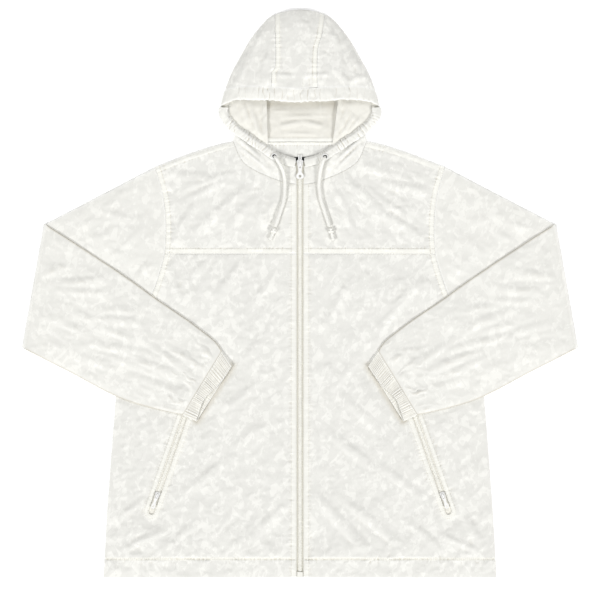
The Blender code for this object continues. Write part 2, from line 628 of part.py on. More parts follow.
def make_yoke(side, name):
    loop = joined(straight_path([(EDGE_X, YOKE_U), (LEDGE[0], YOKE_U), (LEDGE[1], YOKE_U),
                                 (HIGH_ARMHOLE[0][0], YOKE_U)], 0.02),
                  smooth_path(HIGH_ARMHOLE, 0.016), smooth_path(SHOULDER, 0.018),
                  NECK_PATH, np.array(NECK_SEAM[5:]),
                  straight_path([NECK_SEAM[-1], (EDGE_X, YOKE_U)], 0.03))
    loop = inset(loop, SEAM)
    folds = YOKE_FOLDS[side]

    def under(p):
        return LAYER_2 + zip_ledge(p) + soft_crown(p, loop, 0.0016) * calm(p, loop, side)

    def over(p):
        top = YOKE_U + YOKE_BAND
        band = BAND_RISE * (1.0 - step(top - 0.0006, top + 0.0006, p[:, 1]))
        return under(p) + WALL + band + relief(p, folds) * calm(p, loop, side)

    band = [straight_path([(LEDGE[1] + 0.003, u), (0.2195, u)], 0.022)
            for u in (YOKE_U + YOKE_BAND - 0.0007, YOKE_U + YOKE_BAND + 0.0007)]
    panel(name, [loop], under, over, 0.0145, 0.036, side, crests(folds) + band,
          front_ledges(YOKE_U + 0.004, 0.6455))


# ---- sleeves -------------------------------------------------------------------------------------
def flat_ring(place, width, low, high, counts, nose, depth=0.0):
    """A ring round a flattened tube: low edge, upper face, high edge, lower face."""
    edge = (nose + depth) / width
    upper = np.linspace(edge, 1.0 - edge, counts[0])
    lower = np.linspace(1.0 - edge, edge, counts[1])
    ring = []
    faces = ((0.0, upper, high), (1.0, lower, low))
    for rim, parts, height in faces:
        plan = place(parts)
        z = height(plan, parts)
        end = np.array([abs(rim - depth / width)])
        both = place(end)
        middle = 0.5 * (low(both, end)[0] + high(both, end)[0])
        start = 0.5 * rim
        ring.append((start, (*both[0], middle)))
        places = start + 0.02 + 0.46 * np.arange(len(parts)) / (len(parts) - 1)
        ring += [(place_round, (*p, h)) for place_round, p, h in zip(places, plan, z)]
    return ring


def fold_line():
    """The ends of the elbow's fold axis, and the way that the fold points."""
    low, top = np.array(ELBOW_LOW), np.array(ELBOW_TOP)
    way = (top - low) / np.linalg.norm(top - low)
    out = np.array([way[1], -way[0]])
    return low - FOLD_RADIUS * out, top - FOLD_RADIUS * out, out


def turned(ring, angle, out):
    """A ring of the flat arm turned about the elbow's fold axis."""
    made = []
    for place, (x, u, z) in ring:
        reach = FOLD_RADIUS - z
        ahead = reach * math.sin(angle)
        made.append((place, (x + out[0] * ahead, u + out[1] * ahead,
                             FOLD_RADIUS - reach * math.cos(angle))))
    return made


def make_sleeve(side, name):
    low_end, top_end, out = fold_line()
    elbow = np.array([low_end, top_end])
    armhole = ARMHOLE + SEAM * np.array([0.98, 0.2])
    low_edge = smooth_path([low_end] + FOREARM_LOW[1:], 0.004)
    high_edge = smooth_path([top_end] + FOREARM_HIGH[1:], 0.004)
    arm_loop = np.vstack([armhole, elbow[::-1]])

    def arm(part):
        return lambda f: read(armhole, f) * (1.0 - part) + read(elbow, f) * part

    def fore(part):
        return lambda f: (read(low_edge, part) * (1.0 - f)[:, None]
                          + read(high_edge, part) * f[:, None])

    def arm_calm(p):
        edge = step(0.001, 0.02, distance(p, closed(arm_loop)))
        return edge * step(0.016, 0.045, outside(p, FOREARM))

    def arm_top(p, f):
        return TUBE + (0.0018 * np.sin(np.pi * f) + relief(p, UPPER_ARM_FOLDS[side])) * arm_calm(p)

    def fore_crown(p, f):
        elbow_calm = step(0.003, 0.045, distance(p, elbow))
        return 0.0028 * np.sin(np.pi * np.clip(f, 0.0, 1.0)) ** 0.7 * elbow_calm

    def fore_top(part):
        gathered = step(0.72, 0.96, part) * (1.0 if part < SLEEVE_END else 0.0)

        def height(p, f):
            edge = step(0.0, 0.08, f) * step(0.0, 0.08, 1.0 - f) * step(0.004, 0.03, distance(p, elbow))
            waves = gathered * GATHER_RISE * (0.5 - 0.5 * np.cos(2.0 * np.pi * SLEEVE_GATHERS * f))
            folds = relief(p, FOREARM_FOLDS[side]) * edge * (1.0 - 0.6 * gathered)
            return support(p) + TUBE + fore_crown(p, f) + folds + waves * edge
        return height

    def flat(height):
        return lambda p, f: np.full(len(p), height)

    outer, inner = [], []
    width = np.linalg.norm(elbow[1] - elbow[0])
    for part in (0.0, 0.07, 0.16, 0.27, 0.40, 0.55, 0.72, 0.88, 1.0):
        outer.append(flat_ring(arm(part), width, flat(0.0), arm_top, (15, 5), 0.0008))
    for part in (0.02, 0.27, 0.55, 1.0):
        crown = 0.0018

        def inner_top(p, f):
            return LAYER_2 + crown * np.sin(np.pi * f) * arm_calm(p)
        inner.append(flat_ring(arm(part), width, flat(WALL), inner_top, (6, 6), *HOLLOW))
    ring_out = flat_ring(arm(1.0), width, flat(0.0), flat(TUBE), (11, 11), 0.0008)
    ring_in = flat_ring(arm(1.0), width, flat(WALL), flat(LAYER_2), (6, 6), *HOLLOW)
    for angle in (45.0, 90.0, 135.0, 180.0):
        outer.append(turned(ring_out, math.radians(angle), out))
        inner.append(turned(ring_in, math.radians(angle), out))
    stations = list(np.linspace(0.06, 0.66, 9)) + [0.72, 0.77, 0.82, 0.865, 0.905, 0.94, 0.985, SLEEVE_END]
    for part in stations:
        across = np.linalg.norm(read(high_edge, part) - read(low_edge, part))
        count = 16 if part < 0.7 else 3 * SLEEVE_GATHERS + 1
        outer.append(flat_ring(fore(part), across, fore_top(part), lambda p, f: support(p),
                               (5, count), 0.0008))

    def fore_inner_top(p, f):
        return support(p) + LAYER_2 + fore_crown(p, f)
    for part in (0.06, 0.20, 0.36, 0.51, 0.66, 0.77, 0.865, 0.94, 0.99):
        across = np.linalg.norm(read(high_edge, part) - read(low_edge, part))
        inner.append(flat_ring(fore(part), across, fore_inner_top,
                               lambda p, f: support(p) + WALL, (6, 12), *HOLLOW))
    tube(name, outer, inner, side)


def make_cuff(side, name):
    seam = np.array([FOREARM_LOW[-1], FOREARM_HIGH[-1]])
    mouth = np.array(CUFF_MOUTH)
    out = (mouth - seam).mean(axis=0)
    out /= np.linalg.norm(out)

    def place(part, recess):
        def at(f):
            shift = MOUTH_RECESS * recess * np.exp(-((f - 0.32) / 0.26) ** 2)
            start = read(seam, f) + GAP * out
            return start * (1.0 - part) + read(mouth, f) * part - shift[..., None] * out
        return at

    def ribs(f, part):
        height = CUFF_RIB_RISE * step(0.0, 0.08, part) * step(0.0, 0.08, 1.0 - part)
        return height * (0.5 - 0.5 * np.cos(2.0 * np.pi * CUFF_RIBS * f)) * step(0.0, 0.06, f * (1.0 - f))

    def base(p):
        return support(p) + CUFF_LIFT

    def roof(p, f, part):
        rounding = 0.0012 * np.sin(np.pi * np.clip(f, 0.0, 1.0)) ** 0.5
        return base(p) + TUBE + rounding + MOUTH_LIFT * part

    def half_rings(at, part, low, high, counts, *edges):
        """The sleeve is folded over, so the ring's second half is its upper face."""
        below = flat_ring(place(at, 0.0), width, high, low, (counts[0], 2), *edges)
        above = flat_ring(place(at, part), width, high, low, (2, counts[1]), *edges)
        return [(t, q) for t, q in below if t < 0.5] + [(t, q) for t, q in above if t >= 0.5]

    width = np.linalg.norm(mouth[1] - mouth[0])
    outer, inner = [], []
    for part in (0.0, 0.08, 0.92, 1.0):
        outer.append(half_rings(part, part, lambda p, f: base(p),
                                lambda p, f: roof(p, f, part) + ribs(f, part),
                                (9, 3 * CUFF_RIBS), 0.0009))
    for part in (0.0, 1.0):
        inner.append(half_rings(0.03 + 0.94 * part, part, lambda p, f: base(p) + WALL,
                                lambda p, f: roof(p, f, part) - WALL, (9, 14), *HOLLOW))
    tube(name, outer, inner, side, RIBBED)


# ---- hood ----------------------------------------------------------------------------------------
HOOD_OUTLINE_PATH = smooth_path(HOOD_OUTLINE, 0.002)
HOOD_FLOOR_PATH = smooth_path(HOOD_FLOOR_SEAM, 0.002)
HOOD_TOP_PATH = {side: smooth_path(table, 0.002) for side, table in HOOD_TOP_SEAM.items()}
BRIM_PATH = smooth_path(BRIM_EDGE, 0.002)


def across_at(path, value):
    """A path's second coordinate where its first, which only rises, has a value."""
    return np.interp(value, path[:, 0], path[:, 1])


def hood_half(u):
    return across_at(HOOD_OUTLINE_PATH, u)


def brim_edge(x):
    return across_at(BRIM_PATH, np.abs(x))


def brim_seam(x):
    return brim_edge(x) + BRIM_DEPTH


def hood_roof(x, u):
    """Top of the hood's upper layer: an arch at the brim that runs out to the crown."""
    up = np.clip((u - BRIM_EDGE[0][1]) / (CROWN_U - BRIM_EDGE[0][1]), 0.0, 1.0)
    across = np.clip(np.abs(x) / hood_half(u), 0.0, 1.0)
    return HOOD_EDGE + BRIM_RISE * np.sqrt(1.0 - up ** 2) * (1.0 - across ** 2.2) ** 0.6


def crown_u(x):
    return CROWN_U - CROWN_DROP * (x / CROWN_HALF) ** 2


def hood_relief(x, u, side):
    points = np.column_stack([np.atleast_1d(np.abs(x)), np.atleast_1d(u)])
    return relief(points, HOOD_FOLDS[side])


def make_hood_center():
    """One strip: up the back, over the crown and down to the brim's seam."""
    parts = np.linspace(-1.0, 1.0, 9)
    turn = 0.0022
    floor = np.linspace(0.0, 1.0, 8)
    fall = np.linspace(0.0, 1.0, 10)
    outer, inner = [], []
    for part in parts:
        side = 1 if part > 0 else -1
        crown_x = part * (CROWN_HALF - SEAM)
        crown = float(crown_u(crown_x))
        out_line, in_line = [], []
        for t in floor:
            u = HOOD_FOOT_U + t * (crown - turn - HOOD_FOOT_U)
            x = part * (float(across_at(HOOD_FLOOR_PATH, u)) - SEAM)
            out_line.append((x, u, 0.0))
            in_line.append((x, u, WALL))
        for back, height, inner_back, inner_height in ((0.0006, 0.0006, 0.0013, 0.0014),
                                                       (0.0, 0.0020, 0.0010, 0.0020),
                                                       (0.0006, 0.0034, 0.0013, 0.0027)):
            out_line.append((crown_x, crown - back, height))
            in_line.append((crown_x, crown - inner_back, inner_height))
        for t in fall:
            start = crown - turn
            end = float(brim_seam(crown_x)) + GAP
            u = start + (t ** 1.15) * (end - start)
            x = side * abs(part) * (float(across_at(HOOD_TOP_PATH[side], u)) - SEAM)
            top = float(hood_roof(x, u)) + float(hood_relief(x, u, side)[0]) * min(1.0, 4 * t * (1.15 - t))
            base = float(hood_roof(x, u)) - WALL
            out_line.append((x, u, top))
            in_line.append((x, u, base))
        outer.append(out_line)
        inner.append(in_line)
    grid_wall("hood_center", np.array(outer), np.array(inner))


def make_hood_side(side, name):
    """From the top seam out to the outline, under it and in to the strip's edge on the floor."""
    below = list(np.linspace(HOOD_FOOT_U, 0.800, 8)[:-1])
    above = np.linspace(0.0, 1.0, 10) ** 0.95
    top_parts = 1.0 - (1.0 - np.linspace(0.0, 1.0, 8)) ** 1.6
    floor_parts = np.linspace(0.0, 1.0, 4)
    end_u = 0.9275
    rows = [(u, None) for u in below] + [(0.800 + t * (end_u - 0.800), t) for t in above]
    outer, inner = [], []
    for floor_u, t in rows:
        out_line, in_line = [], []
        half = float(hood_half(floor_u))
        for part in top_parts:
            u = floor_u
            for _ in range(4):
                seam = float(across_at(HOOD_TOP_PATH[side], u)) + SEAM
                x = seam + part * (float(hood_half(u)) - 0.0016 - seam)
                if t is not None:
                    low = float(brim_seam(x)) + GAP
                    u = low + t * (end_u - low)
            fade = 0.0 if t is None else min(1.0, 6.0 * t * (1.0 - t))
            fade *= min(1.0, 6.0 * part * (1.0 - part))
            out_line.append((x, u, float(hood_roof(x, u)) + fade * float(hood_relief(x, u, side)[0])))
            x_in = seam + part * (float(hood_half(u)) - 0.0028 - seam)
            in_line.append((x_in, u, float(hood_roof(x_in, u)) - WALL))
        edge_u = 0.5 * (u + floor_u)
        for back, height, inner_back, inner_height in ((0.0004, 0.0036, 0.0018, 0.0026),
                                                       (0.0, 0.0020, 0.0012, 0.0020),
                                                       (0.0005, 0.0006, 0.0015, 0.0013)):
            half_here = float(hood_half(edge_u))
            out_line.append((half_here - back, edge_u, height))
            in_line.append((half_here - inner_back, edge_u, inner_height))
        seam = float(across_at(HOOD_FLOOR_PATH, floor_u)) + SEAM
        for part in floor_parts:
            out_line.append((half - 0.0018 + part * (seam - half + 0.0018), floor_u, 0.0))
            in_line.append((half - 0.0026 + part * (seam - half + 0.0026), floor_u, WALL))
        outer.append(out_line)
        inner.append(in_line)
    outer, inner = np.array(outer), np.array(inner)
    mask = np.ones((len(rows) - 1, outer.shape[1] - 1), dtype=bool)
    mask[:len(below), :len(top_parts) + 2] = False
    grid_wall(name, outer, inner, side, mask)


def make_hood_tuck(side, name):
    """The hood's side folded inwards behind the opening, seen from inside."""
    edge = np.array(TUCK_EDGE[side])
    loop = joined(straight_path(edge, 0.012), smooth_path(TUCK_OUTER, 0.012), edge[:1])
    casing = np.array(CASING_LINE)

    def under(p):
        near = np.exp(-distance(p, edge) / 0.020)
        return LAYER_2 + TUCK_RISE * near * step(0.004, 0.020, distance(p, casing))

    def over(p):
        doubled = (WALL + 0.0004) * (1.0 - step(TUCK_HEM - 0.001, TUCK_HEM + 0.001, distance(p, edge)))
        return under(p) + WALL + doubled

    shift = np.array([TUCK_HEM, 0.0])
    line = [straight_path([edge[0] + (0.0090, 0.0160), edge[1] + shift - (0.0, 0.004)], 0.02)]
    panel(name, [loop], under, over, 0.014, 0.022, side, line)


def make_brim_casing():
    """The gathered casing along the brim."""
    columns = 3 * BRIM_WAVES + 1
    parts = np.linspace(-1.0, 1.0, columns)
    depths = (0.0, 0.35, 1.0)
    rise = (-0.0008, 0.0008, 0.0002)
    waviness = (1.0, 0.8, 0.15)
    outer, inner = [], []
    for k, part in enumerate(parts):
        wave = math.cos(2.0 * math.pi * BRIM_WAVES * 0.5 * (part + 1.0))
        fade = min(1.0, 8.0 * (1.0 - abs(part)))
        out_line, in_line = [], []
        for depth, lift, share in zip(depths, rise, waviness):
            x = part * 0.128
            for _ in range(5):
                u = float(brim_edge(x)) + depth * (BRIM_DEPTH - 3 * GAP)
                x = part * (float(hood_half(u)) - 0.0002)
            u += 0.0008 * wave * fade * (1.0 - depth) ** 2
            roof = float(hood_roof(x, u))
            top = roof + lift * fade + 0.0009 * wave * share * fade
            thick = CASING * (0.55 if depth in (0.0, 1.0) else 1.0)
            out_line.append((x, u, top))
            in_line.append((x, u, top - thick))
        outer.append(out_line)
        inner.append(in_line)
    grid_wall("hood_brim_casing", np.array(outer), np.array(inner))


def make_side_casing(side, name):
    """The gathered casing down one side of the hood's opening to the zip."""
    stations = np.linspace(0.0, 1.0, 3 * CASING_WAVES + 1)
    lengths = [h.part for h in CASING_HEIGHTS]
    outer, inner = [], []
    for part in stations:
        here = read(CASING_PATH, part)
        way = read(CASING_PATH, min(1.0, part + 0.02)) - read(CASING_PATH, max(0.0, part - 0.02))
        way /= np.linalg.norm(way)
        inwards = np.array([way[1], -way[0]])
        heights = (np.interp(part, lengths, [h.outer for h in CASING_HEIGHTS]),
                   np.interp(part, lengths, [h.inner for h in CASING_HEIGHTS]))
        wave = math.cos(2.0 * math.pi * CASING_WAVES * part) * min(1.0, 10.0 * part * (1.02 - part))
        out_line, in_line = [], []
        for v in (-1.0, 0.0, 1.0):
            rim = abs(v) == 1.0
            reach = v * (CASING_HALF + (0.0006 * wave if rim else 0.0))
            plan = here + reach * inwards
            level = heights[0] + (heights[1] - heights[0]) * 0.5 * (v + 1.0)
            top = level - (0.0006 if rim else 0.0) + 0.0005 * wave
            low = level - CASING + (0.0006 if rim else 0.0)
            x = max(plan[0], 0.0070)
            out_line.append((x, plan[1], top))
            in_line.append((x, plan[1], low))
        outer.append(out_line)
        inner.append(in_line)
    grid_wall(name, np.array(outer), np.array(inner), side)


def make_collar(side, name):
    """The hood's low front, between the neck seam and the casing."""
    loop = joined(np.array(NECK_SEAM[:4:-1]), NECK_PATH[::-1],
                  np.array([(0.1118, 0.7202), (0.1076, 0.7290), (0.1080, 0.7335)]),
                  smooth_path(COLLAR_TOP[::-1], 0.012))
    loop = inset(loop, SEAM)
    line = np.array(NECK_SEAM)

    def under(p):
        rise = COLLAR_RISE * step(0.001, 0.018, distance(p, line)) * step(0.012, 0.040, p[:, 0])
        return LAYER_2 + np.maximum(zip_ledge(p), rise)

    def over(p):
        return under(p) + WALL

    ledges = [straight_path([(LEDGE[0], 0.6535), (LEDGE[0], 0.6755)], 0.02),
              straight_path([(LEDGE[1], 0.6545), (LEDGE[1], 0.6775)], 0.02)]
    panel(name, [loop], under, over, 0.013, 0.022, side, (), ledges)


# ---- zips ----------------------------------------------------------------------------------------
def bar_section(x_half, low, high, at_u):
    """The section of a zip's closed chain, rounded on top."""
    shoulder = high - 0.35 * (high - low)
    return [(-x_half, at_u, low), (x_half, at_u, low), (x_half, at_u, shoulder),
            (0.6 * x_half, at_u, high), (-0.6 * x_half, at_u, high), (-x_half, at_u, shoulder)]


def make_main_zip():
    for side, name in ((1, "main_zip_tape_left"), (-1, "main_zip_tape_right")):
        outline = [(SEAM, 0.004), (TAPE_X, 0.004), (TAPE_X, TAPE_TOP_U), (SEAM, TAPE_TOP_U)]
        prism(name, outline, LAYER_2, LAYER_2 + WALL, TAPE, side)
    ends = [bar_section(CHAIN["half"], CHAIN["low"], CHAIN["high"], u) for u in (CHAIN["start"], CHAIN["end"])]
    swept("main_zip_chain", ends, TEETH)
    box_half, box_length = 0.0046, 0.0100
    outline = [(-box_half, 0.0005), (box_half, 0.0005), (box_half, box_length), (-box_half, box_length)]
    prism("main_zip_box", outline, LAYER_3, 0.0052, TEETH)


def placed(points, centre, way, mirror):
    """Local (across, ahead, height) points set at a centre with ahead along a way."""
    across = (way[1], -way[0])
    return [(mirror * (centre[0] + a * across[0] + b * way[0]), centre[1] + a * across[1] + b * way[1], z)
            for a, b, z in points]


def make_slider(name, sizes, centre, way, foot, mirror=1):
    """A slider's body with the arch over it that holds the pull."""
    half, ahead, body = sizes["half"], sizes["ahead"], sizes["body"]
    outline = [(-0.55 * half, -ahead), (0.55 * half, -ahead), (0.80 * half, -0.35 * ahead),
               (half, 0.35 * ahead), (0.85 * half, 0.85 * ahead), (0.45 * half, ahead),
               (-0.45 * half, ahead), (-0.85 * half, 0.85 * ahead), (-half, 0.35 * ahead),
               (-0.80 * half, -0.35 * ahead)]
    bm_points, faces = [], []
    count = len(outline)
    for height in (0.0, body):
        bm_points += [(a, b, foot + height) for a, b in outline]
    faces.append(tuple(range(count)))
    faces.append(tuple(range(count, 2 * count)))
    faces += [(n, (n + 1) % count, count + (n + 1) % count, count + n) for n in range(count)]
    plate = add_solid(name, placed(bm_points, centre, way, mirror), faces, METAL)
    in_leg, out_leg = sizes["leg"]
    in_top, out_top = sizes["arch"]
    sink = 0.0008
    profile = [(-out_leg, body - sink), (-in_leg, body - sink), (-in_leg, in_top - 0.0006),
               (-in_leg + 0.0008, in_top), (in_leg - 0.0008, in_top), (in_leg, in_top - 0.0006),
               (in_leg, body - sink), (out_leg, body - sink), (out_leg, out_top - 0.0014),
               (out_leg - 0.0014, out_top), (-out_leg + 0.0014, out_top), (-out_leg, out_top - 0.0014)]
    width = sizes["bridge_half"]
    arch_points = [(a, b, foot + z) for a in (-width, width) for b, z in profile]
    count = len(profile)
    arch_faces = [tuple(range(count)), tuple(range(count, 2 * count))]
    arch_faces += [(n, (n + 1) % count, count + (n + 1) % count, count + n) for n in range(count)]
    arch = add_solid(name + "_arch", placed(arch_points, centre, way, mirror), arch_faces, METAL)
    union = plate.modifiers.new("arch", "BOOLEAN")
    union.operation = "UNION"
    union.solver = "EXACT"
    union.object = arch
    arch.hide_render = True
    arch.display_type = "WIRE"


def make_pull(name, sizes, centre, way, foot, mirror=1):
    """A pull tab lying along its way from the axle under the slider's arch."""
    neck, flare, length = sizes["neck"] / 2, sizes["flare"] / 2, sizes["length"]
    half = sizes["thick"] / 2
    head = 0.0011
    outline = [(-neck, -head), (neck, -head), (neck, 0.30 * length), (0.80 * neck, 0.45 * length),
               (0.85 * neck, 0.58 * length), (flare, 0.76 * length), (flare, 0.90 * length),
               (0.55 * flare, length), (-0.55 * flare, length), (-flare, 0.90 * length),
               (-flare, 0.76 * length), (-0.85 * neck, 0.58 * length), (-0.80 * neck, 0.45 * length),
               (-neck, 0.30 * length)]
    near, far = sizes["window"]
    wide = sizes["window_half"]
    window = [(-wide, near), (wide, near), (wide, far), (-wide, far)]
    eye = circle(sizes["eye"], 10, (0.0, 0.83 * length))
    loops = [np.array(loop) for loop in (outline, window, eye)]
    flat, triangles, rim = flat_mesh(loops, 1.0, [])
    base = len(flat)
    local = [(a, b, z) for z in (half, -half) for a, b in flat]
    faces = list(triangles) + [tuple(base + v for v in face) for face in triangles]
    faces += [(a, b, base + b, base + a) for a, b in rim]
    points = placed(local, (0.0, 0.0), way, mirror)
    add_solid(name, points, faces, METAL, 1, (mirror * centre[0], centre[1], foot + AXLE_LIFT))


def make_pocket_zip(side, word):
    way = np.array(POCKET_WAY)
    across = np.array([way[1], -way[0]])

    def strip(half, low, high):
        a, b = POCKET[0] + low * way, POCKET[0] + high * way
        return [a - half * across, a + half * across, b + half * across, b - half * across]

    prism("pocket_zip_tape_" + word, strip(POCKET_TAPE, -0.006, POCKET_LENGTH + 0.006), LAYER_2,
          LAYER_2 + WALL, TAPE, side)
    start = POCKET_SLIDER_AT + POCKET_SLIDER["ahead"] + 0.0010
    ends = []
    for reach in (start, POCKET_LENGTH - 0.002):
        centre = POCKET[0] + reach * way
        local = [(x, 0.0, z) for x, _, z in bar_section(POCKET_CHAIN_HALF, LAYER_3, 0.0040, 0.0)]
        ends.append(placed(local, centre, way, 1))
    swept("pocket_zip_chain_" + word, ends, TEETH, side)
    centre = POCKET[0] + POCKET_SLIDER_AT * way
    make_slider("pocket_slider_" + word, POCKET_SLIDER, centre, way, LAYER_3, side)
    make_pull("pocket_pull_" + word, POCKET_PULL, centre, -way, LAYER_3, side)


# ---- drawcords, eyelets and label ----------------------------------------------------------------
def make_cord(side, word):
    line = [(side * x, u, z) for x, u, z in CORD_LINE[side]]
    points = smooth_path(line, 4 * CORD_RADIUS)
    curve = bpy.data.curves.new("drawcord_" + word, "CURVE")
    curve.dimensions = "3D"
    curve.bevel_depth = CORD_RADIUS
    curve.bevel_resolution = 2
    curve.use_fill_caps = True
    spline = curve.splines.new("POLY")
    spline.points.add(len(points) - 1)
    for spot, place in zip(spline.points, points):
        spot.co = (*place, 1.0)
    add_object("drawcord_" + word, curve, CORD, (0.0, 0.0, 0.0))


def rounded_bar(name, centre, way, halves, squareness, side):
    """A closed barrel along a way: half widths across, along and up, with rounded ends."""
    sections = []
    for along in (-1.0, -0.75, 0.0, 0.75, 1.0):
        size = (1.0 - abs(along) ** squareness) ** (1.0 / squareness) if abs(along) < 1 else 0.35
        ring = [(size * halves[0] * a, along * halves[1], centre[2] + size * halves[2] * b)
                for a, b in circle(1.0, 9)]
        sections.append(placed(ring, centre, way, 1))
    swept(name, sections, CORD, side)


def make_knot_and_tip(side, word):
    end, before = np.array(CORD_LINE[side][-1]), np.array(CORD_LINE[side][-2])
    way = (end - before)[:2] / np.linalg.norm((end - before)[:2])
    clear = 0.0022
    centre = end[:2] + (KNOT_HALF[1] + clear) * way
    floor = TUBE + GAP
    rounded_bar("cord_knot_" + word, (*centre, floor + KNOT_HALF[2]), way, KNOT_HALF, 2.6, side)
    tip_way = np.array(TIP_WAY[side]) / np.linalg.norm(TIP_WAY[side])
    tip_centre = centre + KNOT_HALF[1] * way + (TIP_LENGTH / 2 + 0.0004) * tip_way
    rounded_bar("cord_tip_" + word, (*tip_centre, floor + CORD_RADIUS), tip_way,
                (CORD_RADIUS, TIP_LENGTH / 2, CORD_RADIUS), 8.0, side)


def make_eyelet(side, word):
    at = EYELET_AT[side]
    prism("eyelet_" + word, circle(EYELET["outer"], 16, at), EYELET["low"], EYELET["high"], METAL, side,
          holes=[circle(EYELET["inner"], 12, at)])


def make_label():
    outline = [(-0.0091, 0.6875), (0.0116, 0.6875), (0.0116, 0.6935), (-0.0091, 0.6935)]
    prism("neck_label", outline, LAYER_2, LAYER_2 + 0.0007, LABEL)


def make_jacket():
    for old in list(bpy.data.objects):
        bpy.data.objects.remove(old)
    frame = bpy.data.objects.new("jacket", None)
    frame.location = (0.0, -LENGTH / 2, 0.0)
    bpy.context.scene.collection.objects.link(frame)

    make_back()
    make_hood_center()
    make_brim_casing()
    for side, word in ((1, "left"), (-1, "right")):
        make_front(side, "front_" + word)
        make_yoke(side, "yoke_" + word)
        make_sleeve(side, "sleeve_" + word)
        make_cuff(side, "cuff_" + word)
        make_hood_side(side, "hood_side_" + word)
        make_hood_tuck(side, "hood_tuck_" + word)
        make_side_casing(side, "hood_side_casing_" + word)
        make_collar(side, "collar_" + word)
        make_pocket_zip(side, word)
        make_cord(side, word)
        make_knot_and_tip(side, word)
        make_eyelet(side, word)
    make_main_zip()
    make_slider("main_slider", MAIN_SLIDER, (0.0, SLIDER_U), (0.0, 1.0), LAYER_3)
    make_pull("main_pull", MAIN_PULL, (0.0, SLIDER_U), (0.0, -1.0), LAYER_3)
    make_label()
    bpy.context.view_layer.update()


make_jacket()
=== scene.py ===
"""Looks of the hooded windbreaker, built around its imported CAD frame.

Metres, +Z up, in the frame's own axes. A place on the jacket is (x, u): x across and u along, up
from the hem, so the frame's y is u - HEM_Y. Both halves are worked out at x > 0 and mirrored by
their side, +1 for the wearer's left (+X) and -1 for the right.
"""

import math
from collections import namedtuple

import bmesh
import bpy
import numpy as np
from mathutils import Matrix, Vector, geometry
from mathutils.bvhtree import BVHTree


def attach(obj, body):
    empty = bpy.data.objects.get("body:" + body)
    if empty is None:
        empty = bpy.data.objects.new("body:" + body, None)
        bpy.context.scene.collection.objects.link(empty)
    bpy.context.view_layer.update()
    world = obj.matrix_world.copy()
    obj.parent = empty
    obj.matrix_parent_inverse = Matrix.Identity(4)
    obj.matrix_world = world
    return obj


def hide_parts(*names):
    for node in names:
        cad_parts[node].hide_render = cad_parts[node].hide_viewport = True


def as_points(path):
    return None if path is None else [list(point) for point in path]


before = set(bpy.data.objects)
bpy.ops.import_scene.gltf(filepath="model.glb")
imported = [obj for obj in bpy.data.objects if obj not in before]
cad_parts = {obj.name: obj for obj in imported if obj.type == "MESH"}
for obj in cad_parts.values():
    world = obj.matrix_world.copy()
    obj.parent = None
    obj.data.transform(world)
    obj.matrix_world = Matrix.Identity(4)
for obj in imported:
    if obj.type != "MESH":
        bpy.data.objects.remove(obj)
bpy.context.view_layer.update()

SIDES = ((1, "left"), (-1, "right"))
HEM_Y = 0.4685

# ---- the CAD's own sizes -------------------------------------------------------------------------
WALL = 0.001            # thickness of the solids' cloth
GAP = 0.0003            # between pieces that are sewn together
SEAM = GAP / 2          # from a seam's line to each piece
LAYER_2 = WALL + GAP    # underside of the second layer of cloth
LAYER_3 = 2 * LAYER_2   # and of the third
TUBE = LAYER_2 + WALL   # height of a flat tube

SIDE_SEAM = [(0.324, 0.0), (0.3185, 0.1015), (0.315, 0.151), (0.310, 0.220), (0.3036, 0.2995),
             (0.294, 0.412)]
LOW_ARMHOLE = [(0.294, 0.412), (0.2723, 0.4265), (0.2541, 0.448), (0.2426, 0.471),
               (0.2343, 0.494), (0.2277, 0.5156), (0.2232, 0.534)]
HIGH_ARMHOLE = [(0.2232, 0.534), (0.2211, 0.565), (0.2219, 0.598), (0.2261, 0.631),
                (0.2327, 0.656), (0.2393, 0.677)]
SHOULDER = [(0.2393, 0.677), (0.1881, 0.697), (0.1634, 0.7054), (0.137, 0.7136), (0.112, 0.7194)]
NECK_SEAM = [(0.109, 0.718), (0.099, 0.694), (0.0875, 0.6806), (0.0627, 0.6666), (0.0281, 0.6526),
             (0.018, 0.6505), (0.0115, 0.6497), (0.0056, 0.6493)]
YOKE_U = 0.534
YOKE_BAND = 0.009
HEM_DEPTH = 0.030
BAND_RISE = 0.0006
BAND_EDGE = 0.0006
BACK_NECK_U = 0.7194
EDGE_X = 0.0056
LEDGE = (0.0115, 0.018)
CHAIN = dict(half=0.0029, low=LAYER_3, high=0.0042, start=0.0105, end=0.6745)
POCKET_START = (0.2445, 0.1097)
POCKET_WAY = np.array((-0.330, 0.944))
POCKET_LENGTH = 0.185
POCKET_SLOT = 0.0055
POCKET_LEDGE = (0.0105, 0.017)
POCKET_CHAIN = dict(half=0.0024, low=LAYER_3, high=0.0040, start=0.0350, end=0.183)
ELBOW_LOW = (0.4587, 0.3787)
ELBOW_TOP = (0.4224, 0.5833)
FOREARM_LOW = [ELBOW_LOW, (0.3828, 0.3407), (0.3036, 0.2995), (0.2475, 0.2805), (0.193, 0.2685)]
FOREARM_HIGH = [ELBOW_TOP, (0.3498, 0.5379), (0.2805, 0.4917), (0.236, 0.4595), (0.1898, 0.4282),
                (0.165, 0.410), (0.1403, 0.3902), (0.1287, 0.3737)]
CUFF_MOUTH = [(0.170, 0.2582), (0.1122, 0.349)]
CUFF_RIBS = 18
CUFF_LIFT = 0.0003
CUFF_RISE = 0.0015
MOUTH_LIFT = 0.0026
MOUTH_RECESS = 0.009
FOLD_RADIUS = TUBE + SEAM
# The forearm is raised by the third within the first distance of a pocket, and not past the second
POCKET_CLEAR = (0.022, 0.045, 0.00215)
SAG = (0.030, 0.070)    # the forearm sinks to the floor between these distances off the body
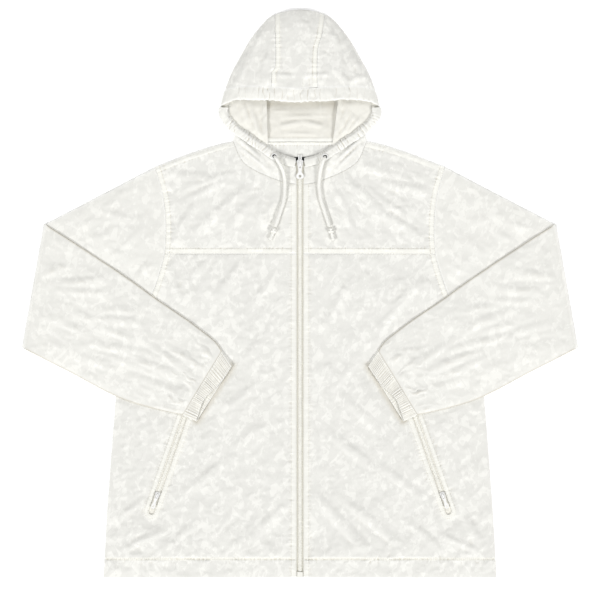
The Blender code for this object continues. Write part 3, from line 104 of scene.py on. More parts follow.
# These three lines go up the hood, and give (u, x)
HOOD_OUTLINE = [(0.7197, 0.1122), (0.7301, 0.1073), (0.7384, 0.1114), (0.7466, 0.1205),
                (0.7549, 0.1279), (0.7631, 0.132), (0.7714, 0.1328), (0.7796, 0.1304),
                (0.7879, 0.1287), (0.8044, 0.1238), (0.8209, 0.118), (0.8374, 0.1106),
                (0.8539, 0.1015), (0.8704, 0.0924), (0.8869, 0.0825), (0.9034, 0.0701),
                (0.920, 0.0553), (0.928, 0.0446)]
HOOD_TOP_SEAM = {-1: [(0.7900, 0.0450), (0.829, 0.0465), (0.8456, 0.0400), (0.930, 0.0412)],
                 +1: [(0.7900, 0.0285), (0.862, 0.0285), (0.895, 0.0360), (0.930, 0.0412)]}
HOOD_FLOOR_SEAM = [(0.7197, 0.062), (0.790, 0.062), (0.929, 0.0412)]
CROWN_U = 0.937
CROWN_DROP = 0.0080
CROWN_HALF = 0.0412
HOOD_FOOT_U = BACK_NECK_U + GAP
BRIM_EDGE = [(0.0, 0.7813), (0.0825, 0.786), (0.110, 0.7845), (0.1262, 0.779), (0.134, 0.776)]
BRIM_DEPTH = 0.0222
BRIM_RISE = 0.020
BRIM_WAVES = 23
HOOD_EDGE = 0.004
CASING = 0.0024
CASING_HALF = 0.0078
CASING_WAVES = 12
CASING_LINE = [(0.1262, 0.7747), (0.1262, 0.7648), (0.1188, 0.7524), (0.1056, 0.7392),
               (0.0825, 0.7227), (0.0578, 0.707), (0.0396, 0.6947), (0.0231, 0.6881),
               (0.0075, 0.6839)]
CasingHeight = namedtuple("CasingHeight", "part outer inner")
CASING_HEIGHTS = [CasingHeight(0.0, 0.0042, 0.0078), CasingHeight(0.22, 0.0062, 0.0088),
                  CasingHeight(0.45, 0.0082, 0.0090), CasingHeight(0.70, 0.0078, 0.0082),
                  CasingHeight(1.0, 0.0068, 0.0068)]
COLLAR_TOP = [(0.0068, 0.6791), (0.0245, 0.6835), (0.0420, 0.6906), (0.0605, 0.7030),
              (0.0853, 0.7187), (0.1070, 0.7345)]
COLLAR_BACK = [(0.1118, 0.7202), (0.1076, 0.7290), (0.1080, 0.7335)]
COLLAR_RISE = 0.0019
TUCK_EDGE = {-1: [(0.0528, 0.7075), (0.0560, 0.825)], +1: [(0.0528, 0.7075), (0.0680, 0.825)]}
TUCK_OUTER = [(0.104, 0.825), (0.111, 0.800), (0.1178, 0.775), (0.1168, 0.7545), (0.1052, 0.7410),
              (0.0820, 0.7246), (0.0610, 0.7112)]
TUCK_RISE = 0.0034
TUCK_HEM = 0.008
CORD_RADIUS = 0.0033
# (x, u, height) of a drawcord's middle, from its eyelet to its knot
CORD_LINE = {
    -1: [(0.0421, 0.6945, 0.0139), (0.0388, 0.6902, 0.0139), (0.0318, 0.6790, 0.0127),
         (0.0268, 0.6665, 0.0094), (0.0250, 0.6540, 0.0071), (0.0249, 0.6430, 0.0060),
         (0.0264, 0.6229, 0.0060), (0.0310, 0.6080, 0.0060), (0.0360, 0.5930, 0.0061),
         (0.0409, 0.5790, 0.0066)],
    +1: [(0.0412, 0.6936, 0.0139), (0.0391, 0.6888, 0.0139), (0.0352, 0.6780, 0.0125),
         (0.0328, 0.6655, 0.0092), (0.0316, 0.6540, 0.0071), (0.0315, 0.6430, 0.0060),
         (0.0345, 0.6229, 0.0060), (0.0392, 0.6080, 0.0060), (0.0440, 0.5930, 0.0061),
         (0.0486, 0.5790, 0.0066)]}
KNOT_HALF = (0.0050, 0.0052, 0.0041)
TIP_LENGTH = 0.0105
TIP_WAY = {-1: (0.40, -0.92), +1: (0.22, -0.98)}
EYELET = dict(outer=0.0051, inner=0.0032, low=0.0095, high=0.0103)
EYELET_AT = {-1: (0.0421, 0.6945), +1: (0.0412, 0.6936)}

# Main folds: a soft ridge from (x1, u1) to (x2, u2), its half width and its height
Fold = namedtuple("Fold", "x1 u1 x2 u2 width height")
TENTHS = 10000          # tenths of a millimetre in a metre


def folds(*rows):
    """Folds from rows of x1, u1, x2, u2, half width and height in tenths of a millimetre."""
    return [Fold(*(value / TENTHS for value in row)) for row in rows]


# For each side, the wearer's right first; a height below 0 is a trough
YOKE_FOLDS = {
    -1: folds(
        (726, 6559, 1716, 5701, 130, 28), (990, 6344, 1419, 5734, 100, 22),
        (627, 6360, 1155, 5800, 110, 26), (2111, 6665, 1485, 6592, 110, 20),
        (2112, 5569, 1716, 6146, 120, 22), (560, 6500, 700, 5760, 90, 20),
        (1200, 6560, 1960, 6180, 100, 22), (420, 6250, 560, 5650, 80, 16), (1000, 6700, 1900, 6420, 90, 18),
        (850, 6420, 1500, 5690, 60, -8), (700, 6480, 1000, 5750, 60, -8)),
    +1: folds(
        (750, 6559, 1650, 5767, 130, 28), (957, 6229, 2063, 5569, 120, 24),
        (1040, 6800, 1650, 6592, 100, 22), (1238, 6526, 2145, 6361, 110, 22),
        (570, 6450, 890, 5700, 90, 22), (460, 6200, 640, 5600, 80, 16), (1150, 6350, 1900, 5850, 90, 18),
        (800, 6350, 1250, 5720, 60, -8), (1100, 6600, 2000, 6080, 60, -8))}
FRONT_FOLDS = {
    -1: folds(
        (230, 1196, 1023, 487, 140, 28), (627, 1049, 1188, 385, 110, 20), (2650, 1081, 2888, 536, 110, 24),
        (2000, 4579, 2130, 5107, 100, 24), (908, 5206, 1403, 4579, 130, 26),
        (500, 4100, 1000, 3500, 120, 22), (450, 2600, 1150, 2150, 120, 22),
        (1500, 5250, 1900, 4800, 100, 20), (400, 5000, 900, 4350, 110, 20),
        (1250, 1900, 1950, 1350, 120, 20), (2300, 750, 2950, 450, 90, 28), (2550, 1300, 3000, 980, 90, 24),
        (1700, 900, 2250, 480, 100, 20), (600, 3300, 1250, 2750, 110, 18), (850, 1180, 1500, 560, 60, -10),
        (1900, 5100, 1750, 4500, 80, 20)),
    +1: folds(
        (230, 1361, 1188, 385, 140, 28), (743, 1279, 1650, 536, 120, 24), (2650, 1114, 2970, 536, 110, 24),
        (2000, 4579, 2130, 5074, 100, 24), (2200, 5050, 1500, 4420, 110, 24),
        (950, 3600, 400, 3000, 120, 18), (350, 4100, 850, 4900, 110, 18), (2050, 4950, 1250, 4050, 100, 20),
        (500, 2400, 1150, 1850, 120, 22), (1300, 1850, 2000, 1350, 110, 20), (2350, 700, 2950, 430, 90, 26),
        (1750, 950, 2300, 500, 100, 22), (650, 3000, 1300, 2450, 110, 18), (900, 1000, 1550, 500, 60, -10))}
UPPER_ARM_FOLDS = {
    -1: folds(
        (2640, 4920, 2450, 5406, 110, 26), (3300, 6046, 2750, 5881, 110, 22),
        (2700, 6450, 3300, 6200, 100, 20), (3267, 6113, 3020, 6196, 90, 20),
        (3548, 5503, 3317, 5618, 90, 22), (2731, 4886, 2409, 5231, 90, 28),
        (2680, 5060, 2420, 5400, 50, -12), (3000, 5350, 2600, 5750, 100, 20),
        (3700, 5750, 3350, 5900, 90, 18), (4050, 5500, 3650, 5600, 90, 18), (3300, 5250, 2850, 5400, 90, 18)),
    +1: folds(
        (2620, 4950, 2480, 5440, 110, 26), (3220, 5970, 2740, 5820, 110, 22),
        (2700, 6500, 3250, 6250, 100, 20), (2750, 4900, 2430, 5250, 90, 26),
        (2640, 5100, 2420, 5400, 50, -12), (3050, 5300, 2640, 5650, 100, 20),
        (3600, 5500, 3250, 5680, 90, 22), (3850, 5700, 3450, 5850, 90, 18), (4150, 5400, 3750, 5500, 90, 18))}
FOREARM_FOLDS = {
    -1: folds(
        (1850, 3230, 2970, 3721, 110, 34), (1780, 3370, 2640, 3952, 100, 28),
        (1690, 3530, 2228, 3836, 90, 24), (1950, 3050, 2805, 3341, 100, 26),
        (3960, 4876, 3168, 4909, 110, 22), (3300, 4282, 2475, 4166, 110, 24),
        (3795, 3689, 2970, 3441, 110, 22), (4257, 4991, 3845, 5132, 90, 24),
        (4307, 4934, 3399, 4958, 60, -12), (3944, 4744, 3152, 4661, 90, 24),
        (3350, 4414, 2640, 4414, 100, 24), (3713, 4364, 3366, 4216, 90, 20),
        (3350, 4150, 2739, 3919, 90, 24), (3548, 3876, 2244, 3655, 100, 26),
        (3498, 3803, 2244, 3506, 60, -12), (3086, 3628, 2343, 3358, 90, 24),
        (4200, 4300, 3500, 4050, 100, 20)),
    +1: folds(
        (1830, 3250, 3000, 3800, 110, 34), (1750, 3420, 2550, 3920, 100, 28),
        (1930, 3060, 2700, 3250, 100, 26), (3900, 4700, 3200, 4780, 110, 22),
        (3450, 4400, 2620, 4050, 110, 24), (3720, 3620, 3000, 3450, 110, 22),
        (4150, 4950, 3600, 5050, 90, 24), (4250, 4880, 3450, 4900, 60, -12),
        (3850, 4560, 3100, 4560, 90, 24), (3250, 4500, 2650, 4400, 90, 22),
        (3500, 4000, 2400, 3750, 100, 26), (3400, 3900, 2300, 3600, 60, -12),
        (3050, 3600, 2300, 3300, 90, 24), (4150, 4200, 3500, 4050, 100, 20),
        (3600, 4200, 3000, 4050, 90, 20))}
HOOD_FOLDS = {
    -1: folds(
        (50, 8240, 400, 8260, 60, 18), (1122, 8192, 842, 8027, 90, 26), (842, 8027, 528, 8093, 90, 26),
        (600, 9000, 850, 8550, 100, 20), (450, 8750, 600, 8350, 90, 18), (900, 8400, 1080, 8100, 90, 20)),
    +1: folds(
        (50, 8240, 480, 8270, 60, 18), (743, 8126, 1122, 8275, 90, 26), (627, 8275, 792, 8159, 80, 24),
        (495, 9001, 627, 8737, 90, 24), (627, 8737, 825, 8890, 90, 22), (850, 8600, 1050, 8300, 90, 20))}

TUCK_FOLDS = {
    -1: folds(
        (640, 7200, 800, 7700, 70, 32), (850, 7480, 980, 7850, 80, 30)),
    +1: folds(
        (620, 7180, 880, 7600, 60, 30), (720, 7230, 1000, 7580, 60, 26), (660, 7380, 820, 7800, 70, 30))}
COLLAR_FOLDS = {
    -1: folds(
        (1020, 7230, 560, 6830, 60, 40), (1000, 7100, 500, 6700, 60, 34), (900, 7090, 380, 6730, 50, -14)),
    +1: folds(
        (1020, 7250, 600, 6850, 60, 40), (1000, 7120, 600, 6730, 60, 34), (960, 7150, 550, 6790, 50, -14))}
# The strip seen inside the hood: x runs across it, below 0 on the right
INSIDE_FOLDS = folds(
    (-430, 7692, -200, 7692, 30, 10), (150, 7615, 500, 7615, 30, 10), (330, 7640, 330, 7900, 26, 8),
    (-400, 7420, 50, 7520, 75, 30), (0, 7530, 420, 7430, 75, 28), (-250, 7600, 220, 7600, 60, 16),
    (-250, 7325, 250, 7315, 50, 16), (-380, 7560, -300, 7250, 60, 16), (420, 7560, 340, 7250, 60, 18))

# ---- what only the looks add ---------------------------------------------------------------------
BODY_STEP = 0.0023      # spacing of the cloth's points on the body
HOOD_STEP = 0.0019
ARM_STEP = 0.0023
COARSE = 0.012          # spacing on faces that don't show
SEAM_DIP = 0.00045      # how far a piece rolls down at its sewn edge
SINK = 0.00055          # the deepest that a crinkle goes into the cloth
LIFT = 0.00010          # how far loose cloth stands over its plain wall
EDGE_SHADE = 0.42       # painted shade: how much darker the cloth is painted right at its edges
RIM_SHADE = 1.5         # times that, as painted shade along the sleeves' folded edges
SLEEVE_TINT = 0.15      # share of cream on the sleeves, painted light that brightens them
# Share of cream on the tucks, painted light for light bounced inside the hood
TUCK_TINT = 0.22
CASING_TINT = 0.30
COLLAR_TINT = 0.10
ARM_BAND = 0.0080       # topstitched band beside the armhole
ZIP_BAND = 0.0086       # topstitched band beside the front zip
WELT = 0.0070           # topstitched welt round the pocket's slot


# ---- curves and fields ---------------------------------------------------------------------------
def smooth_path(points, spacing, steps=12):
    """A smooth curve through the points, read at even places about a spacing apart."""
    given = np.array(points, dtype=float)
    held = np.vstack([2 * given[0] - given[1], given, 2 * given[-1] - given[-2]])
    curve = []
    for p0, p1, p2, p3 in zip(held, held[1:], held[2:], held[3:]):
        for t in np.arange(steps) / steps:
            bend = (2 * p0 - 5 * p1 + 4 * p2 - p3) * t + (3 * p1 - p0 - 3 * p2 + p3) * t * t
            curve.append(p1 + 0.5 * t * (p2 - p0 + bend))
    curve.append(given[-1])
    return even(np.array(curve), spacing)


def run_of(path):
    """How far along the path each of its points is."""
    return np.concatenate([[0.0], np.cumsum(np.linalg.norm(np.diff(path, axis=0), axis=1))])


def at_run(path, places):
    """The path's points at places given in metres from its start."""
    run = run_of(path)
    return np.stack([np.interp(places, run, path[:, k]) for k in range(path.shape[1])], axis=-1)


def even(path, spacing):
    """The path read at even places, both ends kept."""
    length = run_of(path)[-1]
    return at_run(path, np.linspace(0.0, length, max(2, round(length / spacing) + 1)))


def straight_path(points, spacing):
    """Straight runs through the points, each cut into even pieces."""
    runs = [even(np.array([a, b], dtype=float), spacing)[:-1] for a, b in zip(points, points[1:])]
    return np.vstack(runs + [np.array([points[-1]], dtype=float)])


def read(path, part):
    """The point at a part of the path's length, for one part or for many."""
    return at_run(path, np.asarray(part) * run_of(path)[-1])


def unit(ways):
    """Each row at length 1."""
    return ways / np.linalg.norm(ways, axis=1)[:, None]


def joined(*edges):
    """A closed loop from edges that follow each other, without the doubled corners."""
    points = []
    for point in np.vstack(edges):
        if not points or np.linalg.norm(point - points[-1]) > GAP:
            points.append(point)
    if np.linalg.norm(points[0] - points[-1]) <= GAP:
        points.pop()
    return np.array(points)


def inset(loop, distance_in):
    """The loop moved inwards by a distance."""
    ahead = np.roll(loop, -1, axis=0) - loop
    turn = 1.0 if loop_area(loop) > 0 else -1.0
    normal = unit(turn * np.column_stack([-ahead[:, 1], ahead[:, 0]]))
    middle = unit(normal + np.roll(normal, 1, axis=0))
    reach = np.clip(np.sum(middle * normal, axis=1), 0.5, 1.0)
    return loop + middle * (distance_in / reach)[:, None]


def loop_area(loop):
    """The loop's area, below 0 for a loop that runs clockwise."""
    ahead = np.roll(loop, -1, axis=0)
    return 0.5 * np.sum(loop[:, 0] * ahead[:, 1] - loop[:, 1] * ahead[:, 0])


def nearest(points, path):
    """How far each point is from a path, and how far along the path that is."""
    best, where, start = np.full(len(points), np.inf), np.zeros(len(points)), 0.0
    for a, b in zip(path, path[1:]):
        way = b - a
        length = max(math.hypot(*way), 1e-9)
        along = np.clip((points - a) @ way / length ** 2, 0.0, 1.0)
        away = np.hypot(points[:, 0] - a[0] - along * way[0], points[:, 1] - a[1] - along * way[1])
        closer = away < best
        best[closer] = away[closer]
        where[closer] = start + along[closer] * length
        start += length
    return best, where


def distance(points, path):
    """How far each point is from a path."""
    return nearest(points, path)[0]


def closed(loop):
    """The loop as a path that ends where it starts."""
    return np.vstack([loop, loop[:1]])


def inside(points, loop):
    """Whether each point is inside the loop."""
    found = np.zeros(len(points), dtype=bool)
    for (xa, ya), (xb, yb) in zip(loop, np.roll(loop, -1, axis=0)):
        if ya != yb:
            crosses = (ya > points[:, 1]) != (yb > points[:, 1])
            found ^= crosses & (points[:, 0] < (xb - xa) * (points[:, 1] - ya) / (yb - ya) + xa)
    return found


def outside(points, loop):
    """How far outside the loop each point is, 0 when inside."""
    return np.where(inside(points, loop), 0.0, distance(points, closed(loop)))


def step(low, high, value):
    """A soft step from 0 to 1 between two values."""
    t = np.clip((np.asarray(value, dtype=float) - low) / (high - low), 0.0, 1.0)
    return t * t * (3.0 - 2.0 * t)


def bump(centre, half, value):
    """A soft hump of height 1 round a value."""
    return np.clip(1.0 - ((np.asarray(value) - centre) / half) ** 2, 0.0, None) ** 2


def relief(points, table):
    """How far the folds raise the cloth at each point; a fold below 0 is a trough."""
    height, depth = np.zeros(len(points)), np.zeros(len(points))
    for fold in table:
        start = np.array([fold.x1, fold.u1])
        way = np.array([fold.x2, fold.u2]) - start
        along = np.clip((points - start) @ way / (way @ way), 0.0, 1.0)
        away = np.linalg.norm(points - start - along[:, None] * way, axis=1)
        ridge = bump(0.0, fold.width, away)
        rise = fold.height * ridge * (0.35 + 0.65 * np.sin(np.pi * along))
        height, depth = np.maximum(height, rise), np.minimum(depth, rise)
    return height + depth


# ---- crinkles: random heights, read at any place -------------------------------------------------
FIELD = 0.8             # side of the square that the soft hills repeat over
CELLS = 512
CORNERS = 251           # corners of the facets, each way, before they repeat
HEIGHTS = np.random.RandomState(11).uniform(-1.0, 1.0, (CORNERS, CORNERS))
ROW_RISE = 0.866        # of a row of triangles, for sides of 1


def hills(seed, wave_x, wave_u):
    """Soft random hills from about -1 to 1, with a typical size across and along."""
    noise = np.random.RandomState(seed).standard_normal((CELLS, CELLS))
    turns = np.fft.fftfreq(CELLS, FIELD / CELLS)
    keep = np.exp(-((turns[None, :] * wave_x) ** 2 + (turns[:, None] * wave_u) ** 2))
    made = np.real(np.fft.ifft2(np.fft.fft2(noise) * keep))
    return made / (2.0 * made.std())


def look_up(field, x, u):
    """The field's value at each place, blended between its cells."""
    a = np.asarray(x) / FIELD * CELLS
    b = np.asarray(u) / FIELD * CELLS
    j, i = np.floor(a).astype(int), np.floor(b).astype(int)
    s, t = a - j, b - i
    j, i = j % CELLS, i % CELLS
    right, up = (j + 1) % CELLS, (i + 1) % CELLS
    return ((field[i, j] * (1 - s) + field[i, right] * s) * (1 - t)
            + (field[up, j] * (1 - s) + field[up, right] * s) * t)


SWELL = hills(1, 0.050, 0.050)
WANDER_X = hills(2, 0.016, 0.016)
WANDER_U = hills(3, 0.016, 0.016)
PUCKERS = hills(4, 0.0030, 0.030)
RUCKS = hills(5, 0.0180, 0.0180)


def leaning(x, u, lean, stretch, size):
    """Places along and across a lean in degrees, in sizes, the first drawn out by a stretch."""
    turn = math.radians(lean)
    return ((x * math.cos(turn) + u * math.sin(turn)) / (size * stretch),
            (u * math.cos(turn) - x * math.sin(turn)) / size)


def shards(x, u, size, lean, stretch, shift):
    """Crumpled cloth: flat facets between random heights, longer along a lean in degrees."""
    x = x + shift + 0.45 * size * look_up(WANDER_X, x + shift, u)
    u = u + 2.7 * shift + 0.45 * size * look_up(WANDER_U, x, u + shift)
    along, across = leaning(x, u, lean, stretch, size)
    b = across / ROW_RISE
    a = along - 0.5 * b
    i, j = np.floor(a).astype(int), np.floor(b).astype(int)
    f, g = a - i, b - j
    first = f + g < 1.0
    corner = HEIGHTS[(i + ~first) % CORNERS, (j + ~first) % CORNERS]
    right = HEIGHTS[(i + 1) % CORNERS, j % CORNERS]
    up = HEIGHTS[i % CORNERS, (j + 1) % CORNERS]
    return np.where(first, (1.0 - f - g) * corner + f * right + g * up,
                    (f + g - 1.0) * corner + (1.0 - g) * right + (1.0 - f) * up)


def crests(x, u, lean, stretch, shift, size):
    """Narrow crests from 0 to 1 between soft hollows, drawn out along a lean in degrees."""
    x = x + shift + 0.006 * look_up(WANDER_X, x, u + shift)
    u = u + 1.7 * shift + 0.006 * look_up(WANDER_U, x + shift, u)
    along, across = leaning(x, u, lean, stretch, size)
    return (1.0 - np.minimum(1.0, 1.3 * np.abs(look_up(RUCKS, along, across)))) ** 1.5


# The crinkles' kinds: their size, how their lean and shift differ from the cloth's, and their height
Crinkle = namedtuple("Crinkle", "size lean stretch shift height")
CRESTS = Crinkle(1.1, 0.0, 3.0, 0.0, 0.00055)
FACETS = (Crinkle(0.0150, -16.0, 2.0, 0.21, 0.00068), Crinkle(0.0075, 30.0, 1.7, 0.47, 0.00048))


def crumpled(x, u, lean, shift, size=1.0, swell=0.0006):
    """Crinkled light nylon: slow swells, long crests along a lean, and facets of two sizes."""
    crinkle = CRESTS.height * crests(x, u, lean, CRESTS.stretch, shift, CRESTS.size)
    for kind in FACETS:
        facets = shards(x, u, kind.size, lean + kind.lean, kind.stretch, shift + kind.shift)
        crinkle = crinkle + kind.height * facets
    return swell * look_up(SWELL, x + shift, u) + size * crinkle


# ---- meshes --------------------------------------------------------------------------------------
SHORTEST = 0.0004       # edges are taken as at least this long, so that slivers don't count
BEND_LENGTH = 0.004     # a bend of 1 is a turn of about 1 radian over this
CUTS_APART = 97         # places that a piece may be cut from in the printed cloth


def hollows(mesh):
    """How deep each point sits between its neighbours: above 0 in creases, below 0 on crests."""
    count = len(mesh.vertices)
    places, normals = np.empty(3 * count), np.empty(3 * count)
    mesh.vertices.foreach_get("co", places)
    mesh.vertices.foreach_get("normal", normals)
    places, normals = places.reshape(-1, 3), normals.reshape(-1, 3)
    ends = np.empty(2 * len(mesh.edges), dtype=np.int32)
    mesh.edges.foreach_get("vertices", ends)
    a, b = ends.reshape(-1, 2).T
    way = places[b] - places[a]
    length = np.maximum(np.linalg.norm(way, axis=1), SHORTEST)
    bend = np.zeros(count)
    for ends_at, sign in ((a, 1.0), (b, -1.0)):
        rise = np.sum(way * normals[ends_at], axis=1)
        np.add.at(bend, ends_at, sign * BEND_LENGTH * rise / length ** 2)
    shared = np.maximum(np.bincount(a, minlength=count) + np.bincount(b, minlength=count), 1)
    bend /= shared
    for _ in range(2):
        around = np.bincount(a, bend[b], count) + np.bincount(b, bend[a], count)
        bend = 0.5 * bend + 0.5 * around / shared
    return bend


def add_piece(name, points, faces, side=1, tint=None, sharp=40.0):
    """A mesh object from points (x, u, z) at x > 0, mirrored for side -1, with its faces out.

    A tint above 0 is the share of cream at each point, and below 0 how far it is in painted shade.
    """
    mesh = bpy.data.meshes.new(name)
    places = np.asarray(points, dtype=float) * (side, 1.0, 1.0) - (0.0, HEM_Y, 0.0)
    mesh.from_pydata(places.tolist(), [], [tuple(int(v) for v in face) for face in faces])
    shape = bmesh.new()
    shape.from_mesh(mesh)
    bmesh.ops.recalc_face_normals(shape, faces=shape.faces)
    shape.to_mesh(mesh)
    shape.free()
    mesh.shade_smooth()
    mesh.set_sharp_from_angle(angle=math.radians(sharp))
    if tint is not None:
        # Painted shade: above 0 from creases and from a tint below 0; below 0 it paints a highlight on crests
        hollow = hollows(mesh) + np.clip(-np.asarray(tint), 0.0, None)
        letters = sum(ord(letter) * (k + 3) for k, letter in enumerate(name))
        cut = (letters % CUTS_APART) / CUTS_APART
        cuts = np.full(len(places), cut)
        for key, values in (("tint", tint), ("hollow", hollow), ("cut", cuts)):
            layer = mesh.attributes.new(key, "FLOAT", "POINT")
            layer.data.foreach_set("value", np.asarray(values, dtype=np.float32))
    piece = bpy.data.objects.new(name, mesh)
    bpy.context.scene.collection.objects.link(piece)
    return piece


def thinned(points, apart):
    """The points less those that share a small square with an earlier one."""
    keys = np.floor(points / apart).astype(int)
    first = np.unique(keys[:, 0] * 100003 + keys[:, 1], return_index=True)[1]
    return points[np.sort(first)]


def rows_beside(path, reach, spacing):
    """Staggered rows of points on both sides of a path."""
    rows = []
    for k, away in enumerate(np.arange(-reach, reach + spacing / 2, spacing)):
        row = offset_path(even(path, spacing), away)
        rows.append(row if k % 2 else 0.5 * (row[1:] + row[:-1]))
    return np.vstack(rows)


def scattered(loops, spacing, taken, seams):
    """Points inside the first loop and outside the others, closer together beside the seams."""
    low, high = loops[0].min(axis=0), loops[0].max(axis=0)
    rows = np.arange(low[1] + spacing / 2, high[1], spacing * math.sqrt(0.75))
    line = np.arange(low[0] + spacing * 0.25, high[0], spacing)
    points = np.vstack([np.column_stack([line + 0.5 * spacing * (k % 2), np.full(len(line), y)])
                        for k, y in enumerate(rows)])
    for seam in seams:
        points = points[distance(points, seam.path) > seam.band + SEAM_REACH]
    beside = [rows_beside(seam.path, seam.band + SEAM_REACH, SEAM_STEP) for seam in seams]
    if beside:
        points = np.vstack([thinned(np.vstack(beside), 0.85 * SEAM_STEP), points])
    points = points[inside(points, loops[0])]
    for hole in loops[1:]:
        points = points[~inside(points, hole)]
    for line in taken:
        points = points[distance(points, line) > 0.5 * SEAM_STEP]
    return points


def flat_mesh(loops, spacing, seams=()):
    """Triangles that fill the first loop less the others; the loops' points come first."""
    points, edges = [], []
    for loop in loops:
        first = len(points)
        points += list(loop)
        edges += [(first + k, first + (k + 1) % len(loop)) for k in range(len(loop))]
    rim = len(points)
    points += list(scattered(loops, spacing, [closed(loop) for loop in loops], seams))
    made = geometry.delaunay_2d_cdt([Vector(p) for p in points], edges, [], 0, 1e-9)
    places, triangles, origins = np.array([tuple(v) for v in made[0]]), np.array(made[2]), made[3]
    sides = places[triangles[:, 1:]] - places[triangles[:, :1]]
    areas = np.abs(sides[:, 0, 0] * sides[:, 1, 1] - sides[:, 0, 1] * sides[:, 1, 0])
    middles = places[triangles].mean(axis=1)
    keep = inside(middles, loops[0]) & (areas > 1e-10)
    for hole in loops[1:]:
        keep &= ~inside(middles, hole)
    kept = triangles[keep]
    ranks = {new: given for new, sources in enumerate(origins) for given in sources if given < rim}
    others = [v for v in np.unique(kept) if v not in ranks]
    order = np.zeros(len(places), dtype=int)
    for new, given in ranks.items():
        order[new] = given
    order[others] = rim + np.arange(len(others))
    return np.vstack([np.array(points[:rim]), places[others]]), order[kept], edges


DIP_REACH = 0.0012      # how far in from its edge a piece rolls down
SHADE_REACH = 0.0011    # how far in from its edge the painted shade reaches


def panel(name, loops, under, over, side, spacing=BODY_STEP, seams=()):
    """A wall of cloth over a loop less its holes. over gives the height and tint of its top."""
    top, top_faces, rim = flat_mesh(loops, spacing, seams)
    low, low_faces, _ = flat_mesh(loops, COARSE)
    top_edge = distance(top, closed(loops[0]))
    low_edge = distance(low, closed(loops[0]))
    high, tint = over(top, top_edge)
    high = high - SEAM_DIP * np.exp(-top_edge / DIP_REACH)
    # Painted shade along the piece's edges
    tint = tint - EDGE_SHADE * np.exp(-top_edge / SHADE_REACH)
    points = np.vstack([np.column_stack([top, high]), np.column_stack([low, under(low, low_edge)])])
    base = len(top)
    faces = list(top_faces) + list(low_faces + base)
    faces += [(a, b, base + b, base + a) for a, b in rim]
    return add_piece(name, points, faces, side, np.concatenate([tint, np.zeros(len(low))]))


def grid(x, u, height):
    """Points of a sheet from matching arrays; each may also be one number or one row."""
    return np.dstack(np.broadcast_arrays(x, u, height))


def sheet_faces(rows, columns, close_rows=False, close_columns=False, mask=None):
    """Quads over a grid of points, closed round either way."""
    i, j = np.meshgrid(np.arange(rows if close_rows else rows - 1),
                       np.arange(columns if close_columns else columns - 1), indexing="ij")
    if mask is not None:
        i, j = i[mask], j[mask]
    up, right = (i + 1) % rows, (j + 1) % columns
    corners = (i * columns + j, i * columns + right, up * columns + right, up * columns + j)
    return np.stack(corners, axis=-1).reshape(-1, 4)


def shell(name, outer, inner, side=1, mask=None, tint=None):
    """A wall between two matching grids of points, closed all round what the mask keeps."""
    rows, columns = outer.shape[:2]
    quads = sheet_faces(rows, columns, mask=mask)
    half = rows * columns
    walls = {}
    for corners in quads.tolist():
        for a, b in zip(corners, corners[1:] + corners[:1]):
            if (b, a) in walls:
                del walls[(b, a)]
            else:
                walls[(a, b)] = True
    faces = quads.tolist() + (quads[:, ::-1] + half).tolist()
    faces += [(b, a, half + a, half + b) for a, b in walls]
    points = np.vstack([outer.reshape(-1, 3), inner.reshape(-1, 3)])
    shade = np.zeros(half) if tint is None else tint.ravel()
    used = np.unique(quads)
    used = np.concatenate([used, used + half])
    ranks = np.zeros(2 * half, dtype=int)
    ranks[used] = np.arange(len(used))
    faces = [tuple(ranks[list(face)]) for face in faces]
    return add_piece(name, points[used], faces, side, np.concatenate([shade, shade])[used])


def ring_shell(name, rings, side, tint=None):
    """A closed tube wall from rings that run out over its face and back through its hollow."""
    rows, columns = rings.shape[:2]
    faces = sheet_faces(rows, columns, close_rows=True, close_columns=True)
    shade = np.zeros(rows * columns) if tint is None else tint.ravel()
    return add_piece(name, rings.reshape(-1, 3), faces, side, shade)


def full_turn(count):
    """Angles evenly round a full turn."""
    return 2.0 * np.pi * np.arange(count) / count


def swept_tube(path, radii, around):
    """Points and faces of a tube along a path, its rings kept level and both ends closed."""
    path = np.asarray(path, dtype=float)
    way = unit(np.gradient(path, axis=0))
    flat = np.cross(way, (0.0, 0.0, 1.0))
    flat /= np.maximum(np.linalg.norm(flat, axis=1), 1e-6)[:, None]
    lift = np.cross(flat, way)
    turns = full_turn(around)
    radii = np.broadcast_to(np.asarray(radii, dtype=float).reshape(len(path), -1), (len(path), around))
    out = np.cos(turns)[None, :, None] * flat[:, None] + np.sin(turns)[None, :, None] * lift[:, None]
    points = (path[:, None] + radii[..., None] * out).reshape(-1, 3)
    last = (len(path) - 1) * around
    ends = [tuple(range(around)), tuple(range(last, last + around))]
    return points, sheet_faces(len(path), around, close_columns=True).tolist() + ends


def offset_path(path, away):
    """A path moved sideways, to the left of the way that it runs."""
    way = unit(np.gradient(path, axis=0))
    return path + away * np.column_stack([-way[:, 1], way[:, 0]])


# Sewn lines: the path, how strongly the cloth puckers there, and where a topstitched band runs
# beside it, the band's width, its rise and how cream it is
Seam = namedtuple("Seam", "path pucker band rise cream", defaults=(0.0, 0.0, 0.0))
SEAM_STEP = 0.0012      # spacing of the cloth's points beside a seam
SEAM_REACH = 0.0060
SEAM_APART = 0.13       # how far apart two seams read their puckers
BAND_STEP = 0.0005      # half the width of a band's edge
PUCKER_REACH = 0.0050   # how far from the needle the cloth puckers
GROOVE = (0.0016, 0.0004)   # half width and depth of the line that a needle leaves


